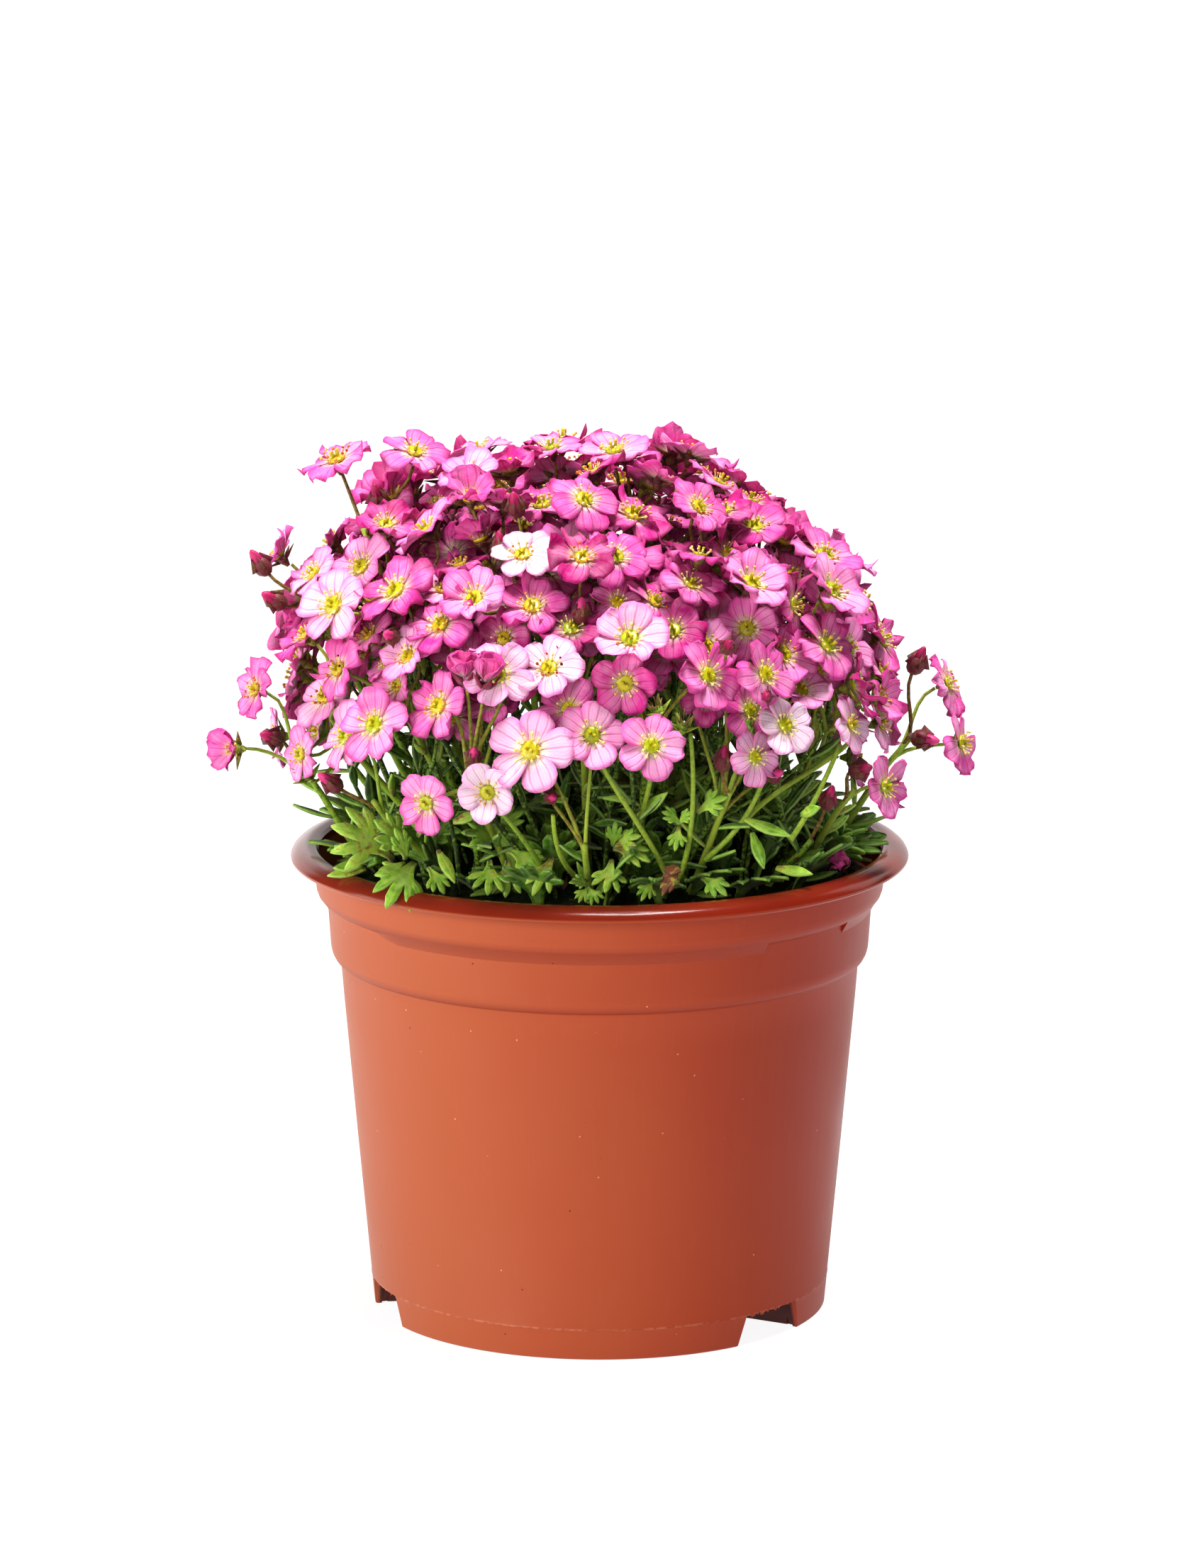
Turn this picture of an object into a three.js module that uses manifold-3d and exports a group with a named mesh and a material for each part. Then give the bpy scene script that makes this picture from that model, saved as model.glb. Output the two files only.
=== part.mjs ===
// Potted mossy saxifrage: a dome of pink blooms on thin stems over a cushion of lobed leaves,
// in a moulded pot filled with soil. Millimetres, +Z up, the origin on the ground under the pot's axis.
import * as THREE from 'three';
import Module from 'manifold-3d';
import { mergeVertices } from 'three/addons/utils/BufferGeometryUtils.js';

const wasm = await Module();
wasm.setup();

// Pot
const potSides = 32;
const footHeight = 6;
const footOuter = 44.3;
const footInner = 43;
const floorThickness = 1.2;
const bodyTop = [50.45, 69.2];
const lowerBand = [[51.6, 70.1], [52.35, 72.2], [52.95, 80.9]];
const upperBand = [[54.3, 81.9], [55.15, 83.9], [55.6, 88.6]];
const rimSection = [[59.9, 88.9], [60, 89.6], [58.1, 91.4], [55.9, 91.7], [54.6, 90.8]];
const innerSteps = [[54.1, 83.7], [51.6, 80.8], [51.2, 74.2], [49.1, 69]];
const innerFloorRadius = 43.2;
const footCount = 3;
const footGapAngle = 22;
const footGapWidths = [18, 14.6];
const firstGapAzimuth = -41.5;
const webThickness = 1.2;
const webInnerRadius = 15;
const drainRadius = 4.5;
const drainRing = 30;
const windowHalfAngle = 12.5;

// Soil
const soilTop = 85;
const soilEdge = 84;
const soilFloorGap = 0.3;
const rootRadius = 3;
const rootDepth = 4;
const clearance = 0.3;

// Dome of blooms
const domeCentre = new THREE.Vector3(-2.5, 0, 112);
const domeRadii = new THREE.Vector3(61, 60, 57);
const leftShoulder = 4;
const fanHeight = 40;
const sprayCount = 40;
const sprayReach = 1.09;
const parting = Math.cos(0.1);
const latticeCount = 147;
const latticeReach = 1.07;
const frontEdge = 119;
const goldenAngle = Math.PI * (3 - Math.sqrt(5));
const bloomSizes = [6.3, 8];
const stalkLength = [14, 17.5];
const depthSteps = [0, -1.9, 1.6, -3.6, -5.4, 2.8, -7.2, -9];
const petalHalf = 0.9;
const petalSlack = 0.35;
const pedicelRadius = 0.5;
const pedicelEnd = 0.32;
const stalkBelow = 4;
const firstNode = -2.2;
const nodeStep = 1.9;
const stemRadius = 0.8;

// Green cushion
const ringClumps = 8;
const crownTangent = 0.36;
const clumpGap = 0.45;
const cushionBase = soilTop + clearance;
const leafThickness = 1.3;
const leafPalm = 0.52;
// Half of a lobed leaf's outline: shares of its length across and along.
const leafHalf = [[0.05, 0], [0.4, 0.6], [0.2, 0.66], [0.29, 0.9], [0.09, 0.75]];
const leafCount = 96;
const leafSizes = [14, 18.5];
const leafZone = [12, 44.8];
const rimTop = 91.7;
const coreHeights = [[18.5, 91.5], [32, 90.5], [42, 88.5], [47, 86.5]];
const leafTurns = [0, 0.45, -0.45, 0.9, -0.9];
const leafLifts = [0, 0.2, 0.4, -0.2, 0.65];

// Blooms that stand out in the front of the dome: across, height, radius.
const frontBlooms = [
  [-20.9, 113.5, 6.4], [-12.7, 121.5, 8], [-1.5, 125, 6.9], [-9.5, 136.5, 6.7], [5.5, 141.5, 7.4],
  [20.1, 134.4, 7], [28.5, 149, 7.8], [34.7, 124, 6.1], [47.6, 121.5, 5.6], [43, 136.5, 7.4],
  [-48, 120.5, 7], [-32.5, 110.5, 6], [-49.5, 132, 6.6], [-36, 136.5, 6.2], [-45.5, 149, 7.2],
  [-33, 157, 7.5], [-23.5, 147.5, 7.1], [-14.6, 155, 6.2], [17.5, 151, 6], [-3, 163.5, 7],
  [53.5, 124, 6], [-57, 114.5, 5.6],
];

// Sprays that reach out of the dome: the end of their stalk, their blooms and their buds.
const farSprays = [
  {
    hub: [-57, -8, 107],
    blooms: [[-70.5, -12, 112.5, 6.4, [-0.75, -0.6, 0.1]], [-66.5, -6, 123, 6.2, [-0.8, -0.45, 0.35]]],
    buds: [[-64.5, -15.5, 116, [-0.6, -0.7, 0.35]]],
  },
  {
    hub: [57.5, -4, 110],
    blooms: [[70, -6, 112.5, 6.5, [0.93, -0.3, 0.15]], [67.5, -2, 123.5, 6.2, [0.9, -0.25, 0.4]]],
    buds: [[62, -10, 131.5, [0.4, -0.2, 0.9]], [64.5, -14, 114.5, [0.8, -0.5, 0]]],
  },
  {
    hub: [-43, -2, 151],
    blooms: [[-50.5, -3, 167.5, 7.6, [-0.3, -0.35, 0.9]], [-35.5, 0, 168.5, 6.6, [0.1, -0.3, 0.95]]],
    buds: [[-43, -9, 163, [-0.2, -0.5, 0.85]]],
  },
  {
    hub: [-54, -6, 138],
    blooms: [[-62, 4, 147.5, 6.2, [-0.8, 0.1, 0.6]]],
    buds: [[-66.5, -8, 150, [-0.55, -0.2, 0.8]], [-64, -14, 143, [-0.7, -0.5, 0.5]]],
  },
  {
    hub: [46.5, -22, 104],
    blooms: [[54.5, -26, 108, 6.2, [0.75, -0.6, 0.1]]],
    buds: [[51, -32, 113, [0.6, -0.7, 0.3]]],
  },
];

function seededDraw(seed) {
  let state = seed;
  return (low, high) => {
    state = (Math.imul(state, 1664525) + 1013904223) >>> 0;
    return low + ((high - low) * state) / 4294967296;
  };
}

function vector(x, y, z) {
  return new THREE.Vector3(x, y, z);
}

function solidFrom(geometry) {
  const bare = geometry.clone();
  bare.deleteAttribute('normal');
  bare.deleteAttribute('uv');
  const merged = mergeVertices(bare, 1e-4);
  const triangles = [];
  for (let i = 0; i < merged.index.count; i += 3) {
    const [a, b, c] = [merged.index.getX(i), merged.index.getX(i + 1), merged.index.getX(i + 2)];
    if (a !== b && b !== c && c !== a) {
      triangles.push(a, b, c);
    }
  }
  const vertProperties = new Float32Array(merged.attributes.position.array);
  const triVerts = new Uint32Array(triangles);
  return new wasm.Manifold(new wasm.Mesh({ numProp: 3, vertProperties, triVerts }));
}

function geometryFrom(solid) {
  const mesh = solid.getMesh();
  const geometry = new THREE.BufferGeometry();
  geometry.setAttribute('position', new THREE.BufferAttribute(new Float32Array(mesh.vertProperties), 3));
  geometry.setIndex(new THREE.BufferAttribute(new Uint32Array(mesh.triVerts), 1));
  geometry.computeVertexNormals();
  return geometry;
}

function body(points, faces) {
  const geometry = new THREE.BufferGeometry().setFromPoints(points);
  geometry.setIndex(faces.flat());
  return solidFrom(geometry);
}

function joined(solids) {
  return solids.reduce((whole, next) => whole.add(next));
}

// Joins two rings of points, each counted anticlockwise seen from the upper one, by triangles.
function bridge(lower, upper) {
  const faces = [];
  let i = 0;
  let j = 0;
  while (i < lower.length || j < upper.length) {
    const a = lower[i % lower.length];
    const b = upper[j % upper.length];
    if ((i + 1) * upper.length <= (j + 1) * lower.length && i < lower.length) {
      faces.push([a, lower[(i + 1) % lower.length], b]);
      i += 1;
    } else {
      faces.push([a, upper[(j + 1) % upper.length], b]);
      j += 1;
    }
  }
  return faces;
}

// A pointed or flat-ended rod of three sides through rings of given centre and radius.
function rod(rings, pointed) {
  const points = [];
  const faces = [];
  const run = rings[rings.length - 1].at.clone().sub(rings[0].at).normalize();
  const side = Math.abs(run.z) > 0.9 ? vector(1, 0, 0) : vector(0, 0, 1);
  const across = side.sub(run.clone().multiplyScalar(side.dot(run))).normalize();
  const along = run.clone().cross(across);
  rings.forEach((ring, level) => {
    if (pointed && level === rings.length - 1) {
      points.push(ring.at.clone());
      return;
    }
    for (let k = 0; k < 3; k += 1) {
      const turn = (k * 2 * Math.PI) / 3;
      points.push(ring.at.clone()
        .addScaledVector(across, ring.radius * Math.cos(turn))
        .addScaledVector(along, ring.radius * Math.sin(turn)));
    }
  });
  faces.push([0, 2, 1]);
  for (let level = 0; level + 1 < rings.length; level += 1) {
    const base = level * 3;
    if (pointed && level === rings.length - 2) {
      faces.push([base, base + 1, base + 3], [base + 1, base + 2, base + 3], [base + 2, base, base + 3]);
    } else {
      faces.push(...bridge([base, base + 1, base + 2], [base + 3, base + 4, base + 5]));
    }
  }
  if (!pointed) {
    const end = (rings.length - 1) * 3;
    faces.push([end, end + 1, end + 2]);
  }
  return body(points, faces);
}

// A solid turned about the upright axis from a closed section of radius and height.
function turned(section, sides) {
  const points = section.map(([radius, height]) => new THREE.Vector2(radius, height));
  const geometry = new THREE.LatheGeometry(points, sides);
  geometry.rotateX(Math.PI / 2);
  return solidFrom(geometry);
}

function polarPoint(radius, degrees, height) {
  const turn = THREE.MathUtils.degToRad(degrees);
  return vector(radius * Math.cos(turn), radius * Math.sin(turn), height);
}

// Pot

function potShell() {
  const section = [
    [0, footHeight], [footInner, footHeight], [footInner, 0], [footOuter, 0], bodyTop,
    ...lowerBand, ...upperBand, ...rimSection, ...innerSteps,
    [innerFloorRadius, footHeight + floorThickness], [0, footHeight + floorThickness],
  ];
  return turned(section, potSides);
}

// The notch between two feet, wider on the ground than under the floor.
function footGap(azimuth) {
  const [bottom, top] = footGapWidths;
  const depth = 12;
  const notch = new THREE.Shape();
  notch.moveTo(-bottom / 2, -1);
  notch.lineTo(bottom / 2, -1);
  notch.lineTo(top / 2, footHeight);
  notch.lineTo(-top / 2, footHeight);
  notch.closePath();
  const geometry = new THREE.ExtrudeGeometry(notch, { depth, bevelEnabled: false });
  geometry.rotateX(Math.PI / 2);
  geometry.rotateZ(Math.PI / 2);
  geometry.translate(footInner - depth / 3, 0, 0);
  geometry.rotateZ(THREE.MathUtils.degToRad(azimuth));
  return solidFrom(geometry);
}

function footWeb(azimuth) {
  const length = footInner + 0.6 - webInnerRadius;
  const geometry = new THREE.BoxGeometry(length, webThickness, footHeight + 0.2);
  geometry.translate(webInnerRadius + length / 2, 0, footHeight / 2 + 0.4);
  geometry.rotateZ(THREE.MathUtils.degToRad(azimuth));
  return solidFrom(geometry);
}

function drain(radius, azimuth) {
  const geometry = new THREE.CylinderGeometry(drainRadius, drainRadius, 4, 6);
  geometry.rotateX(Math.PI / 2);
  const at = polarPoint(radius, azimuth, footHeight + floorThickness / 2);
  geometry.translate(at.x, at.y, at.z);
  return solidFrom(geometry);
}

// A slope that eases the upper step, from the window above one notch to the window above the next.
function ledgeSlope(start) {
  const section = [[52.7, 79.2], [54, 82.1], [53.3, 82.1], [52.2, 79.8]];
  const facet = 360 / potSides;
  const end = start + 360 / footCount - 2 * windowHalfAngle;
  const turns = [start];
  for (let turn = facet * Math.ceil(start / facet + 0.1); turn < end - 1; turn += facet) turns.push(turn);
  turns.push(end);
  const points = turns.flatMap((turn) => section.map(([radius, height]) => polarPoint(radius, turn, height)));
  const steps = turns.length - 1;
  const faces = [[0, 1, 2], [0, 2, 3]];
  for (let s = 0; s < steps; s += 1) {
    for (let k = 0; k < 4; k += 1) {
      const next = (k + 1) % 4;
      const [a, b] = [s * 4 + k, s * 4 + next];
      faces.push([b, a, a + 4], [b, a + 4, b + 4]);
    }
  }
  const last = steps * 4;
  faces.push([last, last + 2, last + 1], [last, last + 3, last + 2]);
  return body(points, faces);
}

function makePot() {
  let pot = potShell();
  for (let k = 0; k < footCount; k += 1) {
    const middle = firstGapAzimuth + (k * 360) / footCount;
    pot = pot.subtract(footGap(middle));
    pot = pot.add(footWeb(middle - footGapAngle / 2 - 1.4));
    pot = pot.add(footWeb(middle + footGapAngle / 2 + 1.4));
    pot = pot.subtract(drain(drainRing, middle));
    pot = pot.add(ledgeSlope(middle + windowHalfAngle));
  }
  return pot.subtract(drain(0, 0));
}

// Soil

function makeSoil(rootPlaces) {
  const gap = clearance;
  const section = [
    [0, footHeight + floorThickness + soilFloorGap],
    [innerFloorRadius - gap - 0.1, footHeight + floorThickness + soilFloorGap],
    [innerSteps[3][0] - gap, innerSteps[3][1]],
    [innerSteps[1][0] - gap, innerSteps[1][1] + 0.1],
    [innerSteps[0][0] - gap, soilEdge],
    [47.5, soilTop],
    [0, soilTop],
  ];
  let soil = turned(section, potSides);
  rootPlaces.forEach((place) => {
    soil = soil.subtract(rootPost(place, rootRadius + clearance, rootDepth + clearance, soilTop + 1));
  });
  return soil;
}

function rootPost(place, radius, depth, top) {
  const height = top - soilTop + depth;
  const geometry = new THREE.CylinderGeometry(radius, radius, height, 5);
  geometry.rotateX(Math.PI / 2);
  geometry.translate(place.x, place.y, top - height / 2);
  return solidFrom(geometry);
}

// Layout of the dome

function shoulderOut(sinTurn, cosTurn, leftness) {
  return leftShoulder * (2 * sinTurn * cosTurn) ** 2 * Math.max(0, leftness);
}

function domePoint(cosTurn, azimuth) {
  const sinTurn = Math.sqrt(Math.max(0, 1 - cosTurn * cosTurn));
  const ray = vector(sinTurn * Math.cos(azimuth), sinTurn * Math.sin(azimuth), cosTurn);
  const grow = 1 + (cosTurn > 0 ? shoulderOut(sinTurn, cosTurn, -ray.x) / 60 : 0);
  return ray.multiply(domeRadii).multiplyScalar(grow).add(domeCentre);
}

function domeNormal(point) {
  const out = point.clone().sub(domeCentre).divide(domeRadii).divide(domeRadii).normalize();
  return out.add(vector(0, 0, 0.15)).normalize();
}

function frontPoint(x, z) {
  const across = (x - domeCentre.x) / domeRadii.x;
  const up = (z - domeCentre.z) / domeRadii.z;
  const depth = Math.sqrt(Math.max(0, 1 - across * across - up * up));
  return vector(x, -domeRadii.y * depth, z);
}

function fromFan(point) {
  return point.clone().sub(vector(0, 0, fanHeight)).normalize();
}

// Turns a stalk's direction away from the planes and the cone that part the green clumps.
function settle(direction) {
  const flat = Math.hypot(direction.x, direction.y);
  const inCrown = flat / direction.z < crownTangent;
  const limit = crownTangent + (inCrown ? -0.04 : 0.04);
  const tangent = inCrown ? Math.min(flat / direction.z, limit) : Math.max(flat / direction.z, limit);
  const wedge = (2 * Math.PI) / ringClumps;
  let azimuth = Math.atan2(direction.y, direction.x);
  let clump = ringClumps;
  if (!inCrown) {
    const swept = (azimuth + 2 * Math.PI) % (2 * Math.PI);
    clump = Math.floor(swept / wedge);
    const room = wedge / 2 - Math.asin((stemRadius + 0.6) / (tangent * (soilTop - fanHeight)));
    const middle = (clump + 0.5) * wedge;
    azimuth = middle + Math.max(-room, Math.min(room, swept - middle));
  }
  const settled = vector(tangent * Math.cos(azimuth), tangent * Math.sin(azimuth), 1).normalize();
  return { direction: settled, clump };
}

function newSpray(hub) {
  const { direction, clump } = settle(fromFan(hub));
  const reach = hub.clone().sub(vector(0, 0, fanHeight)).length();
  const end = direction.clone().multiplyScalar(reach).add(vector(0, 0, fanHeight));
  return { hub: end, direction, clump, blooms: [], buds: [] };
}

function laidSprays(draw) {
  const sprays = farSprays.map(({ hub }) => newSpray(vector(...hub)));
  for (let j = 0; j < sprayCount; j += 1) {
    const azimuth = j * goldenAngle + draw(-0.12, 0.12);
    const top = domePoint(1 - (sprayReach * (j + 0.5)) / sprayCount, azimuth);
    const length = draw(...stalkLength);
    const hub = top.clone().addScaledVector(fromFan(top), -length);
    const spray = newSpray(hub);
    if (sprays.every((other) => other.direction.dot(spray.direction) < parting)) {
      sprays.push(spray);
    }
  }
  return sprays;
}

// A segment meets a blade where it passes through the blade's slab within its reach.
function segmentMeetsBlade(start, end, blade, half, margin) {
  const from = start.clone().sub(blade.centre);
  const to = end.clone().sub(blade.centre);
  const [h0, h1] = [from.dot(blade.normal), to.dot(blade.normal)];
  let low = 0;
  let high = 1;
  if (Math.abs(h1 - h0) < 1e-9) {
    if (Math.abs(h0) > half) {
      return false;
    }
  } else {
    const [s0, s1] = [(half - h0) / (h1 - h0), (-half - h0) / (h1 - h0)];
    low = Math.max(0, Math.min(s0, s1));
    high = Math.min(1, Math.max(s0, s1));
    if (low > high) {
      return false;
    }
  }
  const [u0, v0] = [from.dot(blade.across), from.dot(blade.along)];
  const [du, dv] = [to.dot(blade.across) - u0, to.dot(blade.along) - v0];
  const run = du * du + dv * dv;
  const nearest = run < 1e-12 ? low : Math.max(low, Math.min(high, -(u0 * du + v0 * dv) / run));
  return Math.hypot(u0 + nearest * du, v0 + nearest * dv) < blade.radius + margin;
}

function bladeEdges(blade) {
  const tips = [];
  for (let k = 0; k < 10; k += 1) {
    const turn = (k * Math.PI) / 5;
    const reach = blade.radius * (k % 2 === 0 ? 1 : 0.8);
    tips.push(blade.centre.clone()
      .addScaledVector(blade.across, reach * Math.cos(turn))
      .addScaledVector(blade.along, reach * Math.sin(turn))
      .addScaledVector(blade.normal, 0.1 * blade.radius));
  }
  const edges = tips.map((tip, k) => [tip, tips[(k + 1) % 10]]);
  return edges.concat(tips.filter((tip, k) => k % 2 === 0).map((tip) => [blade.centre, tip]));
}

function neckOf(bloom) {
  return bloom.centre.clone().addScaledVector(bloom.normal, -0.5 * bloom.radius);
}

function bladesMeet(one, other, half = petalHalf, slack = petalSlack) {
  if (one.centre.distanceTo(other.centre) > one.radius + other.radius + 1.5) {
    return false;
  }
  const meets = (blade) => ([from, to]) => segmentMeetsBlade(from, to, blade, half, slack);
  return one.edges.some(meets(other)) || other.edges.some(meets(one));
}

function stalkMeets(bloom, blade) {
  const neck = neckOf(bloom);
  return segmentMeetsBlade(neck, bloom.hub, blade, 1, 0.9)
    || segmentMeetsBlade(bloom.centre, neck, blade, 1, 2);
}

function makeBloom(centre, normal, radius, spin, hub) {
  const side = Math.abs(normal.z) > 0.8 ? vector(1, 0, 0) : vector(0, 0, 1);
  const flat = side.sub(normal.clone().multiplyScalar(side.dot(normal))).normalize();
  const across = flat.clone().applyAxisAngle(normal, spin);
  const along = normal.clone().cross(across);
  const bloom = { centre, normal, radius, across, along, hub };
  bloom.edges = bladeEdges(bloom);
  return bloom;
}

function bloomIsClear(bloom, placed, sprays) {
  const meets = (other) => other.centre.distanceTo(bloom.centre) < 32
    && (bladesMeet(bloom, other) || stalkMeets(bloom, other) || stalkMeets(other, bloom));
  const missed = (other) => !segmentMeetsBlade(footOf(other), other.hub, bloom, 1, 1.3)
    && other.buds.every((bud) => !budMeets(bud, bloom));
  return !placed.some(meets) && sprays.every(missed);
}

function budMeets(bud, bloom) {
  return segmentMeetsBlade(bud.base, bud.tip, bloom, 1, 2)
    || segmentMeetsBlade(bud.hub, bud.base, bloom, 1, 0.9);
}

// The point of a spray's stalk from which its next head grows.
function nextNode(spray) {
  const count = spray.blooms.length + spray.buds.length;
  return spray.hub.clone().addScaledVector(spray.direction, firstNode + nodeStep * count);
}

function footOf(spray) {
  const rise = (soilTop + 1 - fanHeight) / spray.direction.z;
  return spray.direction.clone().multiplyScalar(rise).add(vector(0, 0, fanHeight));
}

function nearestSpray(point, sprays) {
  const way = fromFan(point);
  const closer = (best, spray) => (way.dot(spray.direction) > way.dot(best.direction) ? spray : best);
  return sprays.reduce(closer);
}

// Tries a bloom at several depths under the dome, then smaller, and keeps the first that is clear.
function tryBloom(wish, spray, placed, sprays) {
  for (const shrink of [1, 0.88, 0.76]) {
    for (const depth of depthSteps) {
      const centre = wish.point.clone().addScaledVector(wish.out, depth);
      const bloom = makeBloom(centre, wish.normal, wish.radius * shrink, wish.spin, nextNode(spray));
      if (bloomIsClear(bloom, placed, sprays)) {
        spray.blooms.push(bloom);
        placed.push(bloom);
        return true;
      }
    }
  }
  return false;
}

function farBlooms(sprays, placed) {
  farSprays.forEach(({ blooms }, index) => {
    blooms.forEach(([x, y, z, radius, normal], k) => {
      const aim = vector(...normal).normalize();
      const bloom = makeBloom(vector(x, y, z), aim, radius, k + 0.4, nextNode(sprays[index]));
      sprays[index].blooms.push(bloom);
      placed.push(bloom);
    });
  });
}

function jittered(normal, draw, amount) {
  const shift = vector(draw(-amount, amount), draw(-amount, amount), draw(-amount, amount));
  return shift.add(normal).normalize();
}

function domeBlooms(sprays, placed, draw) {
  const inner = sprays.slice(farSprays.length);
  frontBlooms.forEach(([x, z, radius]) => {
    const point = frontPoint(x, z);
    const normal = jittered(domeNormal(point), draw, 0.12);
    const wish = { point, out: domeNormal(point), normal, radius, spin: draw(0, 1.2) };
    tryBloom(wish, nearestSpray(point, inner), placed, sprays);
  });
  const leading = placed.slice();
  for (let i = 0; i < latticeCount; i += 1) {
    const azimuth = i * goldenAngle + draw(-0.03, 0.03);
    const point = domePoint(1 - (latticeReach * (i + 0.5)) / latticeCount, azimuth);
    const out = domeNormal(point);
    const normal = jittered(out, draw, 0.2);
    const wish = { point, out, normal, radius: draw(...bloomSizes), spin: draw(0, 1.2) };
    const lowInFront = point.y < -12 && point.z < frontEdge;
    if (!lowInFront && leading.every((other) => other.centre.distanceTo(point) > 8)) {
      tryBloom(wish, nearestSpray(point, inner), placed, sprays);
    }
  }
}

function makeBud(tip, aim, length, hub) {
  return { tip, aim, length, hub, base: tip.clone().addScaledVector(aim, -length) };
}

function farBuds(sprays) {
  farSprays.forEach(({ buds }, index) => {
    buds.forEach(([x, y, z, aim]) => {
      const bud = makeBud(vector(x, y, z), vector(...aim).normalize(), 5.6, nextNode(sprays[index]));
      sprays[index].buds.push(bud);
    });
  });
}

function domeBuds(sprays, placed, draw) {
  sprays.slice(farSprays.length).forEach((spray, index) => {
    for (let k = 0; k < 5; k += 1) {
      const aim = jittered(spray.direction, draw, 0.3);
      const tip = spray.hub.clone().addScaledVector(aim, draw(13, 20));
      const bud = makeBud(tip, jittered(aim, draw, 0.15), draw(4.6, 5.8), nextNode(spray));
      if (index % 3 !== 2 && spray.buds.length === 0 && placed.every((bloom) => !budMeets(bud, bloom))) {
        spray.buds.push(bud);
      }
    }
  });
}

function layOut() {
  const draw = seededDraw(20251);
  const sprays = laidSprays(draw);
  const placed = [];
  farBlooms(sprays, placed);
  farBuds(sprays);
  domeBlooms(sprays, placed, draw);
  domeBuds(sprays, placed, draw);
  return sprays.filter((spray) => spray.blooms.length + spray.buds.length > 0);
}

// Blooms, buds and stalks

function bloomSolid(bloom) {
  const { centre, normal, across, along, radius } = bloom;
  const point = (degrees, reach, height) => {
    const turn = THREE.MathUtils.degToRad(degrees);
    return centre.clone()
      .addScaledVector(across, radius * reach * Math.cos(turn))
      .addScaledVector(along, radius * reach * Math.sin(turn))
      .addScaledVector(normal, radius * height);
  };
  const points = [];
  for (let k = 0; k < 5; k += 1) {
    const middle = k * 72;
    const lift = 0.1 + 0.05 * Math.cos(2.4 * k + bloom.radius * 9);
    points.push(point(middle - 36, 0.64, 0.05), point(middle - 20, 0.94, lift));
    points.push(point(middle, 1, lift - 0.03), point(middle + 20, 0.94, lift));
  }
  points.push(point(0, 0, -0.04));
  const faces = points.slice(0, 20).map((_, k) => [20, k, (k + 1) % 20]);
  for (let k = 0; k < 3; k += 1) {
    points.push(point(k * 120 - 36, 0.32, -0.2));
  }
  faces.push(...bridge([21, 22, 23], points.slice(0, 20).map((_, k) => k)));
  return addStalk(points, faces, [21, 22, 23], bloom, neckOf(bloom));
}

// Closes a flower head's lower ring with a three-sided stalk that runs down to the hub.
function addStalk(points, faces, ring, head, neck) {
  const run = head.hub.clone().sub(neck).normalize();
  const across = head.across.clone().sub(run.clone().multiplyScalar(head.across.dot(run))).normalize();
  const along = across.clone().cross(run);
  const first = across.clone().multiplyScalar(Math.cos(0.628)).addScaledVector(along, -Math.sin(0.628));
  const second = first.clone().cross(run);
  const radii = [pedicelRadius + 0.2, pedicelEnd];
  [neck, head.hub].forEach((at, end) => {
    for (let k = 0; k < 3; k += 1) {
      const turn = (k * 2 * Math.PI) / 3;
      points.push(at.clone()
        .addScaledVector(first, radii[end] * Math.cos(turn))
        .addScaledVector(second, radii[end] * Math.sin(turn)));
    }
  });
  const from = points.length - 6;
  const upper = [from, from + 1, from + 2];
  const lower = [from + 3, from + 4, from + 5];
  faces.push(...bridge(upper, ring), ...bridge(lower, upper), [lower[0], lower[2], lower[1]]);
  return body(points, faces);
}

function budSolid(bud) {
  const side = Math.abs(bud.aim.z) > 0.8 ? vector(1, 0, 0) : vector(0, 0, 1);
  const across = side.sub(bud.aim.clone().multiplyScalar(side.dot(bud.aim))).normalize();
  const along = bud.aim.clone().cross(across);
  const points = [bud.tip.clone()];
  const belly = bud.tip.clone().addScaledVector(bud.aim, -0.55 * bud.length);
  for (let k = 0; k < 5; k += 1) {
    const turn = (k * 72 - 36) * (Math.PI / 180);
    points.push(belly.clone()
      .addScaledVector(across, 1.75 * Math.cos(turn))
      .addScaledVector(along, 1.75 * Math.sin(turn)));
  }
  const faces = [];
  for (let k = 0; k < 5; k += 1) {
    faces.push([0, 1 + k, 1 + ((k + 1) % 5)]);
  }
  return addStalk(points, faces, [1, 2, 3, 4, 5], { across, hub: bud.hub }, bud.base);
}

function hubSolid(spray) {
  const at = (step) => spray.hub.clone().addScaledVector(spray.direction, step);
  const count = spray.blooms.length + spray.buds.length;
  const end = Math.max(1, firstNode + nodeStep * (count - 1) + 0.8);
  const rings = [
    { at: at(-stalkBelow), radius: 1.1 },
    { at: at(end), radius: 1 },
    { at: at(end + 1.6), radius: 0 },
  ];
  return rod(rings, true);
}

function makeSpray(spray) {
  return joined([hubSolid(spray), ...spray.blooms.map(bloomSolid), ...spray.buds.map(budSolid)]);
}

// Green clumps: a low core, lobed leaves and the lower parts of the stalks

function coreTop(radius) {
  const [first] = coreHeights;
  let low = first;
  for (const high of coreHeights) {
    if (radius <= high[0]) {
      const share = high[0] === low[0] ? 0 : (radius - low[0]) / (high[0] - low[0]);
      return low[1] + Math.max(0, share) * (high[1] - low[1]);
    }
    low = high;
  }
  return low[1];
}

function clumpOf(point) {
  const flat = Math.hypot(point.x, point.y);
  if (flat < crownTangent * (point.z - fanHeight)) {
    return ringClumps;
  }
  const swept = (Math.atan2(point.y, point.x) + 2 * Math.PI) % (2 * Math.PI);
  return Math.floor((swept * ringClumps) / (2 * Math.PI));
}

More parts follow.
